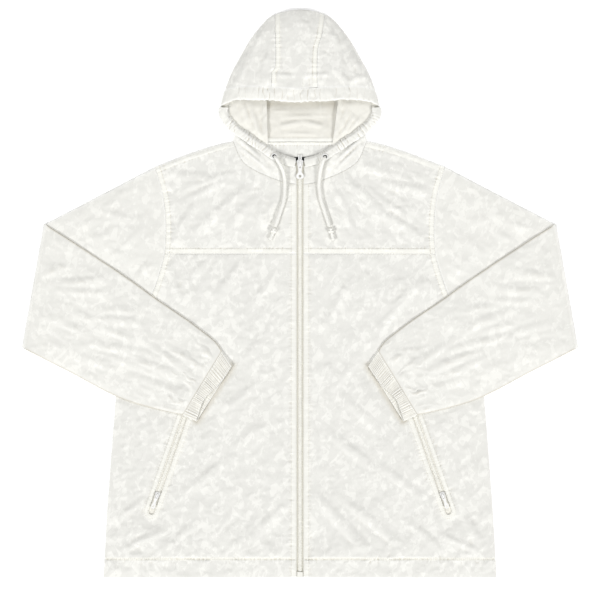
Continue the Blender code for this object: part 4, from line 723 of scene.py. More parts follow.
def sewn(points, seams, shift):
    """How far seams raise and pucker the cloth at each point, and the share of cream there."""
    height, cream = np.zeros(len(points)), np.zeros(len(points))
    groove_half, groove_depth = GROOVE
    for k, seam in enumerate(seams):
        away, along = nearest(points, seam.path)
        ripple = look_up(PUCKERS, along + shift + SEAM_APART * k, 0.35 * away)
        on_band = np.zeros(len(points))
        if seam.band:
            on_band = 1.0 - step(seam.band - BAND_STEP, seam.band + BAND_STEP, away)
        off = np.abs(away - seam.band)
        height += seam.rise * on_band + seam.pucker * ripple * np.exp(-off / PUCKER_REACH)
        height -= groove_depth * bump(seam.band, groove_half, away)
        cream = np.maximum(cream, seam.cream * on_band)
    return height, cream


# ---- outlines that several pieces share ----------------------------------------------------------
NECK_PATH = smooth_path(NECK_SEAM[:5], 0.0035)
ARMHOLE = smooth_path(LOW_ARMHOLE + HIGH_ARMHOLE[1:], 0.004)
BACK_SIDE = joined(smooth_path(SIDE_SEAM, 0.03), smooth_path(LOW_ARMHOLE, 0.014),
                   smooth_path(HIGH_ARMHOLE, 0.02), smooth_path(SHOULDER, 0.03))
BODY = np.vstack([BACK_SIDE, [(0.0, BACK_NECK_U), (0.0, 0.0)]])
UPPER_ARM = np.vstack([smooth_path(LOW_ARMHOLE + HIGH_ARMHOLE[1:], 0.02), [ELBOW_TOP, ELBOW_LOW]])
FOREARM = np.vstack([smooth_path(FOREARM_LOW, 0.02), CUFF_MOUTH,
                     smooth_path(FOREARM_HIGH, 0.02)[::-1]])
POCKET = np.array([POCKET_START, np.array(POCKET_START) + POCKET_LENGTH * POCKET_WAY])
POCKET_ACROSS = np.array([POCKET_WAY[1], -POCKET_WAY[0]])
CASING_PATH = smooth_path(CASING_LINE, 0.002)
HOOD_OUTLINE_PATH = smooth_path(HOOD_OUTLINE, 0.002)
HOOD_FLOOR_PATH = smooth_path(HOOD_FLOOR_SEAM, 0.002)
HOOD_TOP_PATH = {side: smooth_path(table, 0.002) for side, table in HOOD_TOP_SEAM.items()}
BRIM_PATH = smooth_path(BRIM_EDGE, 0.002)


CORD_END = 0.026        # length of the knot and the tail after the drawcord


def cord_track(side):
    """The drawcord's way over the yoke, out to the end of its tail."""
    line = np.array(CORD_LINE[side])[:, :2]
    return np.vstack([line, [line[-1] + CORD_END * np.array(TIP_WAY[side])]])


def zip_ledge(points):
    """How far the front zip's tapes raise the cloth."""
    return (LAYER_3 - LAYER_2) * (1.0 - step(*LEDGE, points[:, 0]))


def calm(points, edge, side):
    """1 where the cloth may crown and fold, 0 along edges and under or over other pieces."""
    quiet = step(0.002, 0.016, edge)
    quiet = quiet * step(LEDGE[0], 0.022, points[:, 0])
    quiet *= step(POCKET_LEDGE[0], 0.030, distance(points, POCKET))
    quiet *= step(0.004, 0.030, outside(points, FOREARM))
    return quiet * step(0.007, 0.018, distance(points, cord_track(side)))


def loose(points, edge, side):
    """How freely the cloth crinkles: less at seams and zips, and not under the forearm."""
    free = 0.35 + 0.65 * step(0.0, 0.010, edge)
    free *= 0.30 + 0.70 * step(EDGE_X, 0.020, points[:, 0])
    free *= 0.30 + 0.70 * step(0.004, 0.016, distance(points, POCKET))
    free *= step(-0.002, 0.010, outside(points, FOREARM))
    return free * (0.25 + 0.75 * step(0.003, 0.010, distance(points, cord_track(side))))


def support(points):
    """The height that a folded forearm lies at: on the body and arm, sagging past their edges."""
    off = np.minimum(outside(points, BODY), outside(points, UPPER_ARM))
    near, far, rise = POCKET_CLEAR
    over_pocket = rise * (1.0 - step(near, far, distance(points, POCKET)))
    return LAYER_3 * (1.0 - step(*SAG, off)) + over_pocket


def capsule(radius, spacing, ends=9):
    """A loop at a radius round the pocket's line."""
    loop = []
    for centre, start in ((POCKET[1], 0.0), (POCKET[0], math.pi)):
        for turn in start + math.pi * np.arange(ends) / (ends - 1):
            out = math.cos(turn) * POCKET_ACROSS + math.sin(turn) * POCKET_WAY
            loop.append(centre + radius * out)
    return joined(straight_path(loop + loop[:1], spacing))


# ---- camera, floor and light ---------------------------------------------------------------------
VIEW_WIDTH = 0.990      # how much of the garment's plane the picture is across
VIEW_Y = -0.0106
CAMERA_HEIGHT = 2.60
WORLD_LIGHT = 0.345
FLOOR_HALF = 12.0
FLOOR_DROP = 0.0002     # how far the floor is under the cloth's underside


def make_camera():
    """A camera straight above the jacket."""
    data = bpy.data.cameras.new("camera")
    data.sensor_width = 36.0
    data.lens = data.sensor_width * CAMERA_HEIGHT / VIEW_WIDTH
    camera = bpy.data.objects.new("camera", data)
    camera.location = (0.0, VIEW_Y, CAMERA_HEIGHT)
    bpy.context.scene.collection.objects.link(camera)
    bpy.context.scene.camera = camera


# Soft round lamps, all aimed at the origin
Lamp = namedtuple("Lamp", "name place size power")
LAMPS = [Lamp("left", (-12.4, -10.6, 13.6), 4.4, 2200.0),
         Lamp("right", (12.4, -10.6, 13.6), 4.4, 2140.0),
         Lamp("top", (0.0, 2.20, 3.20), 1.8, 25.0)]


def make_lights():
    """Soft area lights over the jacket, and an even sky."""
    for lamp in LAMPS:
        data = bpy.data.lights.new(lamp.name, "AREA")
        data.shape = "DISK"
        data.size = lamp.size
        data.energy = lamp.power
        light = bpy.data.objects.new(lamp.name, data)
        light.location = lamp.place
        way = Vector((0.0, 0.0, 0.0)) - Vector(lamp.place)
        light.rotation_euler = way.to_track_quat("-Z", "Y").to_euler()
        bpy.context.scene.collection.objects.link(light)
    world = bpy.data.worlds.new("studio")
    world.use_nodes = True
    sky = world.node_tree.nodes["Background"]
    sky.inputs["Color"].default_value = (1.0, 1.0, 1.0, 1.0)
    sky.inputs["Strength"].default_value = WORLD_LIGHT
    scene = bpy.context.scene
    scene.world = world
    scene.view_settings.view_transform = "Standard"
    scene.view_settings.look = "None"


# ---- materials -----------------------------------------------------------------------------------
class Nodes:
    """A material's node tree, built a node at a time."""

    def __init__(self, name):
        self.material = bpy.data.materials.new(name)
        self.material.use_nodes = True
        self.tree = self.material.node_tree
        self.shader = self.tree.nodes["Principled BSDF"]
        self.place = self.tree.nodes.new("ShaderNodeTexCoord").outputs["Object"]

    def node(self, kind, links=(), values=(), **settings):
        """A node with its linked inputs, its set inputs and its own settings."""
        made = self.tree.nodes.new("ShaderNode" + kind)
        for key, value in settings.items():
            setattr(made, key, value)
        for key, value in dict(values).items():
            made.inputs[key].default_value = value
        for key, source in dict(links).items():
            self.tree.links.new(source, made.inputs[key])
        return made

    def texture(self, kind, place=None, values=(), **settings):
        """A texture at a place, or at the object's own coordinates."""
        return self.node(kind, {"Vector": self.place if place is None else place}, values, **settings)

    def attribute(self, name):
        """A value that each point of the mesh carries."""
        return self.node("Attribute", attribute_name=name).outputs["Fac"]

    def math(self, operation, a, b):
        """A sum of two numbers or sockets."""
        made = self.tree.nodes.new("ShaderNodeMath")
        made.operation = operation
        for socket, value in zip(made.inputs, (a, b)):
            if isinstance(value, (int, float)):
                socket.default_value = value
            else:
                self.tree.links.new(value, socket)
        return made.outputs[0]

    def ramp(self, source, stops):
        """A colour from (place, colour) stops."""
        made = self.node("ValToRGB", {"Fac": source})
        while len(made.color_ramp.elements) < len(stops):
            made.color_ramp.elements.new(0.5)
        for element, (place, colour) in zip(made.color_ramp.elements, stops):
            element.position = place
            element.color = (*colour, 1.0)
        return made.outputs["Color"]

    def mix(self, factor, a, b):
        """From colour a to colour b by a factor; the colours are sockets or tuples."""
        made = self.tree.nodes.new("ShaderNodeMix")
        made.data_type = "RGBA"
        for socket, value in ((made.inputs["Factor"], factor), (made.inputs[6], a), (made.inputs[7], b)):
            if isinstance(value, tuple):
                socket.default_value = (*value, 1.0)
            else:
                self.tree.links.new(value, socket)
        return made.outputs[2]

    def bumps(self, *layers):
        """Bump from (height, distance) pairs, one over the other, on the shader's normal."""
        normal = None
        for height, depth in layers:
            links = {"Height": height}
            if normal is not None:
                links["Normal"] = normal
            made = self.node("Bump", links, {"Strength": 1.0, "Distance": depth})
            normal = made.outputs["Normal"]
        self.tree.links.new(normal, self.shader.inputs["Normal"])

    def finish(self, colour, **values):
        """The material, with a colour socket and the shader's own values."""
        self.tree.links.new(colour, self.shader.inputs["Base Color"])
        for key, value in values.items():
            self.shader.inputs[key.replace("_", " ")].default_value = value
        return self.material


BASE = (0.806, 0.800, 0.760)
INNER = (0.800, 0.784, 0.722)
WARM = (0.825, 0.812, 0.750)
CREAM = (0.900, 0.893, 0.835)
# Painted shade: the colour that creases, edges and painted shadows are mixed towards
SHADE = (0.57, 0.53, 0.44)
CREST_HIGHLIGHT = (0.94, 0.94, 0.92)               # painted highlight along the crests
TONES = (0.972, 0.998, 1.075)           # of the print, as shares of the base colour
LINING_TONES = (0.99, 1.0, 1.01)
PRINT_WANDER = 0.0022                   # how far the cells' edges stray
THREADS = {"Scale": 420.0, "Distortion": 0.4}
# Cells of the print
Patch = namedtuple("Patch", "scale turn stretch weight")
PATCHES = (Patch(58.0, -0.45, 1.8, 0.46), Patch(78.0, 0.55, 1.7, 0.42), Patch(150.0, -0.60, 1.8, 0.18))


def grey(value):
    """A neutral colour of one level."""
    return (value, value, value)


def cloth_material(name, base, shares=TONES):
    """Satin nylon with a faint camouflage print in three tones, painted darker and warmer in its creases as
    shade, and lighter along its crests as highlight.
    """
    nodes = Nodes(name)
    apart = nodes.node("CombineXYZ", {"Z": nodes.attribute("cut")}).outputs[0]
    place = nodes.node("VectorMath", {0: nodes.place, 1: apart}, operation="ADD").outputs[0]
    wander = nodes.texture("TexNoise", place, {"Scale": 90.0, "Detail": 1.0})
    push = nodes.node("VectorMath", {0: wander.outputs["Color"]}, {1: grey(0.5)}, operation="SUBTRACT")
    scaled = nodes.node("VectorMath", {0: push.outputs[0]}, {"Scale": PRINT_WANDER}, operation="SCALE")
    moved = nodes.node("VectorMath", {0: place, 1: scaled.outputs[0]}, operation="ADD").outputs[0]
    blotch = nodes.texture("TexNoise", place, {"Scale": 34.0, "Detail": 1.0})
    tone = nodes.math("MULTIPLY", nodes.math("SUBTRACT", blotch.outputs["Fac"], 0.5), 0.22)
    for patch in PATCHES:
        sizes = {"Scale": (1.0 / patch.stretch, 1.0, 1.0), "Rotation": (0.0, 0.0, patch.turn)}
        turned = nodes.node("Mapping", {"Vector": moved}, sizes, vector_type="TEXTURE").outputs[0]
        cells = nodes.texture("TexVoronoi", turned, {"Scale": patch.scale, "Randomness": 1.0})
        cell = nodes.node("SeparateColor", {"Color": cells.outputs["Color"]}).outputs[0]
        tone = nodes.math("ADD", tone, nodes.math("MULTIPLY", cell, patch.weight))
    dark, middle, light = [tuple(min(1.0, share * value) for value in base) for share in shares]
    colour = nodes.ramp(tone, [(0.0, dark), (0.465, dark), (0.470, middle), (0.665, middle),
                               (0.670, light), (1.0, light)])
    # Cream on topstitched bands, welts, casings and the collar; on the sleeves and tucks it is painted light
    colour = nodes.mix(nodes.attribute("tint"), colour, CREAM)
    hollow = nodes.attribute("hollow")
    # Painted shade in the creases, and wherever a piece's tint is below 0
    creased = nodes.ramp(nodes.math("MULTIPLY", hollow, 2.2), [(0.14, grey(0.0)), (1.0, grey(0.70))])
    # Painted highlight: the crests are mixed towards a lighter colour
    crested = nodes.ramp(nodes.math("MULTIPLY", hollow, -2.2), [(0.22, grey(0.0)), (1.0, grey(0.5))])
    colour = nodes.mix(creased, colour, SHADE)
    colour = nodes.mix(crested, colour, CREST_HIGHLIGHT)
    crinkle = nodes.texture("TexNoise", place, {"Scale": 260.0, "Detail": 2.0})
    warp = nodes.texture("TexWave", None, THREADS, bands_direction="X")
    weft = nodes.texture("TexWave", None, THREADS, bands_direction="Y")
    weave = nodes.math("ADD", warp.outputs["Fac"], weft.outputs["Fac"])
    nodes.bumps((weave, 0.000010), (crinkle.outputs["Fac"], 0.00007))
    return nodes.finish(colour, Roughness=0.48, Sheen_Weight=0.05, Sheen_Roughness=0.4,
                        Specular_IOR_Level=0.35)


def fabric_material(name, colour, dark, scale, depth, roughness, turn=0.0):
    """A woven or braided finish: fine cords along one way, crossed by finer ones."""
    nodes = Nodes(name)
    place = nodes.node("Mapping", {"Vector": nodes.place}, {"Rotation": (0.0, 0.0, turn)}).outputs[0]
    ribs = nodes.texture("TexWave", place, {"Scale": scale, "Distortion": 0.6}, bands_direction="X")
    cross = nodes.texture("TexWave", place, {"Scale": scale, "Distortion": 0.8}, bands_direction="Y")
    mottle = nodes.texture("TexNoise", None, {"Scale": 300.0, "Detail": 3.0})
    height = nodes.math("ADD", ribs.outputs["Fac"], nodes.math("MULTIPLY", cross.outputs["Fac"], 0.6))
    shade = nodes.math("MULTIPLY", nodes.math("ADD", height, mottle.outputs["Fac"]), 0.38)
    nodes.bumps((height, depth), (mottle.outputs["Fac"], depth))
    return nodes.finish(nodes.mix(shade, dark, colour), Roughness=roughness, Sheen_Weight=0.2)


def hard_material(name, colour, dull, roughness, coat=0.0):
    """Enamel or moulded plastic: faint orange peel, and duller where it is handled."""
    nodes = Nodes(name)
    peel = nodes.texture("TexNoise", None, {"Scale": 900.0, "Detail": 2.0})
    handled = nodes.texture("TexNoise", None, {"Scale": 160.0, "Detail": 4.0})
    shade = nodes.ramp(handled.outputs["Fac"], [(0.35, dull), (0.60, colour)])
    rough = nodes.node("MapRange", {"Value": handled.outputs["Fac"]},
                       {"To Min": roughness * 0.8, "To Max": roughness * 1.4}).outputs[0]
    nodes.tree.links.new(rough, nodes.shader.inputs["Roughness"])
    nodes.bumps((peel.outputs["Fac"], 0.00003))
    return nodes.finish(shade, Coat_Weight=coat, Coat_Roughness=0.12)


def make_floor():
    """A white floor just below the jacket."""
    half = FLOOR_HALF
    mesh = bpy.data.meshes.new("floor")
    mesh.from_pydata([(-half, -half, 0.0), (half, -half, 0.0), (half, half, 0.0), (-half, half, 0.0)],
                     [], [(0, 1, 2, 3)])
    floor = bpy.data.objects.new("floor", mesh)
    floor.location = (0.0, 0.0, -FLOOR_DROP)
    bpy.context.scene.collection.objects.link(floor)
    nodes = Nodes("floor")
    faint = nodes.texture("TexNoise", None, {"Scale": 3.0})
    colour = nodes.ramp(faint.outputs["Fac"], [(0.0, grey(0.955)), (1.0, grey(0.97))])
    mesh.materials.append(nodes.finish(colour, Roughness=0.9, Emission_Color=(1.0, 1.0, 1.0, 1.0),
                                       Emission_Strength=0.25))


# ---- body ----------------------------------------------------------------------------------------
YOKE_SEAM = straight_path([(EDGE_X, YOKE_U), (LOW_ARMHOLE[-1][0], YOKE_U)], 0.02)
HEM_SEAM = straight_path([(EDGE_X, HEM_DEPTH), (0.3225, HEM_DEPTH)], 0.02)
NECK_LINE = np.vstack([smooth_path(NECK_SEAM[:5], 0.006), NECK_SEAM[5:]])
SHOULDER_SEAM = smooth_path(SHOULDER, 0.012) - (0.002, 0.006)


def zip_seam(low, high):
    """The front zip's topstitched edge."""
    path = straight_path([(EDGE_X, low), (EDGE_X, high)], 0.03)
    return Seam(path, pucker=0.00045, band=ZIP_BAND, rise=0.0003, cream=0.65)


def arm_seam(table):
    """A topstitched part of the armhole."""
    return Seam(smooth_path(table, 0.006), pucker=0.00065, band=ARM_BAND, rise=0.0004, cream=0.95)


def cloth_top(points, edge, side, lean, shift, seams, table):
    """How far the cloth stands over its plain wall on the body, and its share of cream."""
    rise, cream = sewn(points, seams, shift)
    free = loose(points, edge, side)
    crinkle = crumpled(*points.T, lean, shift, 1.25) + LIFT
    folded = relief(points, table) * calm(points, edge, side)
    return np.maximum(crinkle * free + rise * step(0.0, 0.35, free), -SINK) + folded, cream


def make_back():
    """The back panel, with the gathered neck edge that shows inside the hood."""
    half = joined(*(smooth_path(table, 0.006) for table in (SIDE_SEAM, LOW_ARMHOLE, HIGH_ARMHOLE, SHOULDER)))
    foot = SIDE_SEAM[0][0]
    loop = joined(straight_path([(-foot, 0.0), (foot, 0.0)], 0.01)[1:-1], half,
                  np.array([(0.0, BACK_NECK_U)]), half[::-1] * (-1.0, 1.0))
    neck = Seam(straight_path([(-0.095, BACK_NECK_U), (0.095, BACK_NECK_U)], 0.02),
                pucker=0.0011, band=0.0055, rise=0.0010, cream=1.0)

    def under(p, edge):
        return np.clip(crumpled(*p.T, lean=40.0, shift=0.2), 0.0, SINK) * step(0.0, 0.01, edge)

    def over(p, edge):
        x, u = p.T
        shown = step(0.0, 0.1, bump(0.708, 0.036, u) * step(0.080, 0.060, np.abs(x)))
        rise, cream = sewn(p, [neck], 0.1)
        gathered = 0.0008 * look_up(PUCKERS, 0.6 * x + 0.3, 0.2 * u) * bump(0.703, 0.018, u)
        return WALL + np.maximum(rise + gathered, -0.0004) * shown, cream * shown

    return panel("back", [inset(loop, SEAM)], under, over, 1, 0.0050, [neck])


MOUTH_LINE = np.array(CUFF_MOUTH)
MOUTH_SHADE = 0.42      # painted shadow: how dark the front is painted under a cuff's mouth
MOUTH_REACH = 0.0075


def make_front(side, name):
    """A front panel from the hem to the yoke, with its zip's edge and its pocket's slot."""
    seam = [(LOW_ARMHOLE[-1][0], YOKE_U), (EDGE_X, YOKE_U)]
    loop = joined(straight_path([(EDGE_X, 0.0), (SIDE_SEAM[0][0], 0.0)], 0.003),
                  smooth_path(SIDE_SEAM, 0.0045), smooth_path(LOW_ARMHOLE, 0.004),
                  straight_path(seam, 0.003), straight_path([(EDGE_X, YOKE_U), (EDGE_X, 0.0)], 0.005))
    slot = capsule(POCKET_SLOT, 0.0025)
    welt = closed(capsule(POCKET_SLOT, 0.006))
    seams = [zip_seam(0.0, YOKE_U), arm_seam(LOW_ARMHOLE), Seam(YOKE_SEAM, pucker=0.00075),
             Seam(HEM_SEAM, pucker=0.00080), Seam(welt, pucker=0.00045, band=WELT, rise=0.0004, cream=0.8)]

    def under(p, edge):
        pocket = (LAYER_3 - LAYER_2) * (1.0 - step(*POCKET_LEDGE, distance(p, POCKET)))
        rise = np.maximum(zip_ledge(p), pocket)
        return LAYER_2 + rise + 0.0018 * step(0.0, 0.08, edge) * calm(p, edge, side)

    def over(p, edge):
        x, u = p.T
        lean, shift = 90.0 - 38.0 * side, 0.11 + 0.23 * side
        rise, cream = cloth_top(p, edge, side, lean, shift, seams, FRONT_FOLDS[side])
        hem = BAND_RISE * (1.0 - step(HEM_DEPTH - BAND_EDGE, HEM_DEPTH + BAND_EDGE, u))
        low_corner = step(0.14, 0.03, u) * step(0.16, 0.27, x)
        over_hem = step(0.095, 0.040, u) * step(HEM_DEPTH, HEM_DEPTH + 0.006, u)
        crumples = shards(x, u, size=0.0150, lean=58.0, stretch=2.2, shift=0.5) + 0.5
        rise += 0.0020 * np.maximum(low_corner, over_hem) * crumples * calm(p, edge, side)
        in_hem = step(HEM_DEPTH + 0.001, HEM_DEPTH - 0.002, u)
        rise += 0.0009 * shards(x, u, size=0.0085, lean=62.0, stretch=1.9, shift=0.7) * in_hem
        cream = np.maximum(cream, 1.0 - step(0.0020, 0.0030, np.abs(u - HEM_DEPTH - 0.0012)))
        # Painted shadow under the cuff's mouth
        cream -= MOUTH_SHADE * np.exp(-(distance(p, MOUTH_LINE) / MOUTH_REACH) ** 2)
        return under(p, edge) + WALL + hem + rise, cream

    return panel(name, [inset(loop, SEAM), slot[::-1]], under, over, side, seams=seams)


def make_yoke(side, name):
    """A front yoke, from its topstitched seam up to the shoulder and the neck."""
    loop = joined(straight_path([(EDGE_X, YOKE_U), (HIGH_ARMHOLE[0][0], YOKE_U)], 0.003),
                  smooth_path(HIGH_ARMHOLE, 0.004), smooth_path(SHOULDER, 0.0045),
                  NECK_PATH, np.array(NECK_SEAM[5:]),
                  straight_path([NECK_SEAM[-1], (EDGE_X, YOKE_U)], 0.004))
    seams = [zip_seam(YOKE_U, 0.649), arm_seam(HIGH_ARMHOLE),
             Seam(YOKE_SEAM, pucker=0.00080, band=YOKE_BAND, rise=0.0006, cream=1.0),
             Seam(NECK_LINE, pucker=0.00060),
             Seam(SHOULDER_SEAM, pucker=0.00055, band=0.0032, rise=0.0003, cream=0.7)]

    def under(p, edge):
        return LAYER_2 + zip_ledge(p) + 0.0016 * step(0.0, 0.08, edge) * calm(p, edge, side)

    def over(p, edge):
        rise, cream = cloth_top(p, edge, side, -36.0, 0.31 + 0.17 * side, seams, YOKE_FOLDS[side])
        return under(p, edge) + WALL + rise, cream

    return panel(name, [inset(loop, SEAM)], under, over, side, seams=seams)


# ---- sleeves -------------------------------------------------------------------------------------
def round_ring(place, parts, low, high, counts, depth=0.0, nose=0.0008):
    """Rings round a flattened tube at each part of its length: its upper face, then its lower.

    place(part, f) is the plan, with f from 0 to 1 across it. A ring starts at the rim, half way up
    its rounded nose. Rings of the tube's hollow lie a depth inside its edges.
    """
    upper, lower = counts
    ends = place(parts[:, None], np.array([[0.0, 1.0]]))
    width = np.linalg.norm(ends[:, 1] - ends[:, 0], axis=-1)[:, None]
    edge, tuck, rim = (nose + depth) / width, (0.35 * nose + depth) / width, depth / width
    across_up = edge + (1.0 - 2.0 * edge) * np.linspace(0.0, 1.0, upper)[None, :]
    across_low = edge + (1.0 - 2.0 * edge) * np.linspace(1.0, 0.0, lower)[None, :]
    f = np.hstack([rim, tuck, across_up, 1.0 - tuck, 1.0 - rim, 1.0 - tuck, across_low, tuck])
    plan = place(parts[:, None], f)
    flat = plan.reshape(-1, 2)
    part = np.broadcast_to(parts[:, None], f.shape).ravel()
    bottom = low(flat, f.ravel(), part).reshape(f.shape)
    top = high(flat, f.ravel(), part).reshape(f.shape)
    blend = np.concatenate([[0.5, 0.82], np.ones(upper), [0.82, 0.5, 0.18], np.zeros(lower), [0.18]])
    return np.dstack([plan, bottom + (top - bottom) * blend])


def fold_line():
    """The ends of the elbow's fold axis, and the way that the fold points."""
    low, top = np.array(ELBOW_LOW), np.array(ELBOW_TOP)
    way = (top - low) / np.linalg.norm(top - low)
    out = np.array([way[1], -way[0]])
    return low - FOLD_RADIUS * out, top - FOLD_RADIUS * out, out


def turned(ring, angle, out):
    """A ring of the flat arm turned about the elbow's fold axis."""
    reach = FOLD_RADIUS - ring[..., 2]
    ahead = reach * math.sin(angle)
    return np.stack([ring[..., 0] + out[0] * ahead, ring[..., 1] + out[1] * ahead,
                     FOLD_RADIUS - reach * math.cos(angle)], axis=-1)


def gathers(f, part, count, seed):
    """Uneven rounded gathers with sharp creases between them, from 0 to about 1."""
    drift = (0.60 * np.sin(2.0 * np.pi * (1.3 * f + 0.17 * seed))
             + 0.35 * np.sin(2.0 * np.pi * (3.1 * f + 0.4 * seed)))
    slide = 0.16 * np.sin(5.0 * part + 23.0 * f + seed)
    wave = np.abs(np.sin(np.pi * (count * f + drift + slide))) ** 0.6
    return wave * (0.66 + 0.34 * np.sin(2.0 * np.pi * (4.3 * f + 0.3 * seed) + 2.0 * part))


def humped(f, sharpness):
    """A hump of height 1 across a tube, flatter on top the lower its sharpness is."""
    return np.sin(np.pi * np.clip(f, 0.0, 1.0)) ** sharpness


def between(start, end, part):
    """The places that are a part of the way from one to another."""
    return start * (1.0 - part)[..., None] + end * part[..., None]


def make_sleeve(side, name):
    """A sleeve: a flat tube out to the elbow, round its fold, and back as the forearm to the cuff."""
    low_end, top_end, out = fold_line()
    elbow = np.array([low_end, top_end])
    armhole = ARMHOLE + SEAM * np.array([0.98, 0.2])
    low_edge = smooth_path([low_end] + FOREARM_LOW[1:], 0.004)
    high_edge = smooth_path([top_end] + FOREARM_HIGH[1:], 0.004)
    arm_loop = closed(np.vstack([armhole[::3], elbow[::-1]]))
    shift = 0.21 + 0.13 * side
    seam = Seam(ARMHOLE[::2], pucker=0.0010)
    fore_way = np.subtract(FOREARM_LOW[-1], ELBOW_LOW)
    fore_lean = math.degrees(math.atan2(fore_way[1], fore_way[0])) % 180.0 - 14.0

    def arm(part, f):
        return between(read(armhole, f), read(elbow, f), part)

    def fore(part, f):
        return between(read(low_edge, part), read(high_edge, part), f)

    def arm_top(p, f, part):
        edge, off = distance(p, arm_loop), outside(p, FOREARM)
        quiet = step(0.001, 0.02, edge) * step(0.010, 0.030, off)
        free = (0.3 + 0.7 * step(0.0, 0.010, edge)) * step(-0.002, 0.010, off)
        crinkle = LIFT + crumpled(*p.T, lean=150.0, shift=shift, swell=0.0009) + sewn(p, [seam], shift)[0]
        dip = SEAM_DIP * np.exp(-distance(p, seam.path) / DIP_REACH)
        folded = 0.0018 * np.sin(np.pi * f) + 0.8 * relief(p, UPPER_ARM_FOLDS[side])
        return TUBE + folded * quiet + np.maximum(crinkle * free, -SINK) - dip

    def fore_crown(p, f):
        return 0.0030 * humped(f, 0.6) * step(0.003, 0.045, distance(p, elbow))

    def fore_top(p, f, part):
        near = distance(p, elbow)
        edge = step(0.0, 0.06, f) * step(0.0, 0.06, 1.0 - f) * step(0.002, 0.025, near)
        gathered, at_cuff = step(0.74, 0.97, part), step(0.94, 1.0, part)
        strayed = f + 0.045 * look_up(WANDER_X, p[:, 0] + shift, p[:, 1])
        waves = 0.0022 * gathers(strayed, 0.3 * part, 7.0, 2 + side)
        waves += 0.0014 * shards(*p.T, size=0.0120, lean=fore_lean + 18.0, stretch=1.8, shift=shift + 0.3)
        crinkle = LIFT + crumpled(*p.T, fore_lean, shift + 0.1, 1.1, 0.0010)
        free = (0.30 + 0.70 * edge) * step(0.0, 0.006, near) * (1.0 - at_cuff)
        folded = 0.75 * relief(p, FOREARM_FOLDS[side]) * edge * (1.0 - 0.5 * gathered)
        swelling = (fore_crown(p, f) + folded + gathered * waves * edge) * (1.0 - at_cuff)
        cuffed = at_cuff * (0.0014 * humped(f, 0.5) + CUFF_LIFT + 0.0003)
        return support(p) + TUBE + swelling + cuffed + np.maximum(crinkle, -SINK) * free

    def level(height):
        return lambda p, f, part: np.full(len(p), height)

    def resting(p, f, part):
        return support(p)

    counts = (int(np.linalg.norm(elbow[1] - elbow[0]) / ARM_STEP), 26)
    arm_parts = np.linspace(0.0, 1.0, int(0.21 / ARM_STEP))
    fore_parts = np.concatenate([np.linspace(0.02, 0.96, int(0.29 / ARM_STEP)),
                                 np.linspace(0.965, 0.9999, 8)])
    angles = np.radians([30.0, 60.0, 90.0, 120.0, 150.0, 180.0])
    bend = round_ring(arm, np.array([1.0]), level(0.0), level(TUBE), counts)[0]
    outer = [round_ring(arm, arm_parts, level(0.0), arm_top, counts),
             np.array([turned(bend, angle, out) for angle in angles]),
             round_ring(fore, fore_parts, resting, fore_top, counts)]
    # the hollow: the same way with the wall taken off
    walls, hollow = (level(WALL), level(LAYER_2)), (0.0012, 0.0016)
    inner_bend = round_ring(arm, np.array([1.0]), *walls, counts, *hollow)[0]
    inner = [round_ring(arm, np.linspace(0.01, 1.0, 9), *walls, counts, *hollow),
             np.array([turned(inner_bend, angle, out) for angle in angles[1::2]]),
             round_ring(fore, np.linspace(0.03, 0.996, 14), lambda p, f, part: support(p) + WALL,
                        lambda p, f, part: support(p) + LAYER_2 + 0.5 * fore_crown(p, f),
                        counts, *hollow)]
    rings = np.vstack(outer + [np.vstack(inner)[::-1]])
    # Painted light: the sleeves are tinted towards cream to brighten them
    tint = np.full(rings.shape[:2], SLEEVE_TINT)
    edges = [0, 1, -1] + [counts[0] + k for k in (2, 3, 4)]
    # Painted shade along the sleeves' folded edges
    tint[:, edges] = -RIM_SHADE * EDGE_SHADE
    return ring_shell(name, rings, side, tint)


def make_cuff(side, name):
    """An elasticated cuff: a ribbed tube whose upper face is drawn back at its mouth."""
    seam = np.array([FOREARM_LOW[-1], FOREARM_HIGH[-1]])
    mouth = np.array(CUFF_MOUTH)
    out = (mouth - seam).mean(axis=0)
    out /= np.linalg.norm(out)
    upper, lower = 14 * CUFF_RIBS, 6 * CUFF_RIBS

    def ribs(f, part, seed):
        uneven = (0.55 * gathers(f, 0.1 * part, CUFF_RIBS, seed)
                  + 0.60 * gathers(f, 0.2 * part, 1.9 * CUFF_RIBS, seed + 3) - 0.40)
        pinch = 1.0 - 0.80 * bump(0.16, 0.05, part) - 0.35 * bump(0.86, 0.05, part)
        risen = CUFF_RISE * uneven * pinch * step(0.0, 0.05, f * (1.0 - f))
        return risen * (0.35 + 0.65 * step(0.0, 0.06, part))

    def place(part, f):
        return between(read(seam, f) + 0.00004 * out, read(mouth, f), part)

    def rings(parts, wall, depth, nose):
        """Rings at each part of the cuff's length."""
        def low(p, f, part):
            inward = 0.8 * ribs(f, part, 4 - side) if wall else 0.0
            return support(p) + CUFF_LIFT + wall + inward

        def high(p, f, part):
            roof = support(p) + CUFF_LIFT + TUBE + 0.0014 * humped(f, 0.5) + MOUTH_LIFT * part
            return roof + ribs(f, part, 1 + side) - 2.0 * wall

        made = round_ring(place, parts, low, high, (upper, lower), depth, nose)
        f = np.linspace(0.0, 1.0, upper)
        draw = MOUTH_RECESS * np.exp(-((f - 0.32) / 0.26) ** 2) * parts[:, None]
        draw += 0.0011 * parts[:, None] * (gathers(f, 1.0, CUFF_RIBS, 1 + side) - 0.5)
        made[:, 2:2 + upper, :2] -= draw[..., None] * out
        return made

    forward = np.concatenate([np.linspace(0.0, 0.97, 19), [1.0]])
    outer = rings(forward, 0.0, 0.0, 0.0009)
    inner = rings(forward[::-1] * 0.97 + 0.015, WALL, 0.0012, 0.0016)
    return ring_shell(name, np.vstack([outer, inner]), side)


# ---- hood ----------------------------------------------------------------------------------------
def across_at(path, value):
    """A path's second coordinate where its first, which only rises, has a value."""
    return np.interp(value, path[:, 0], path[:, 1])


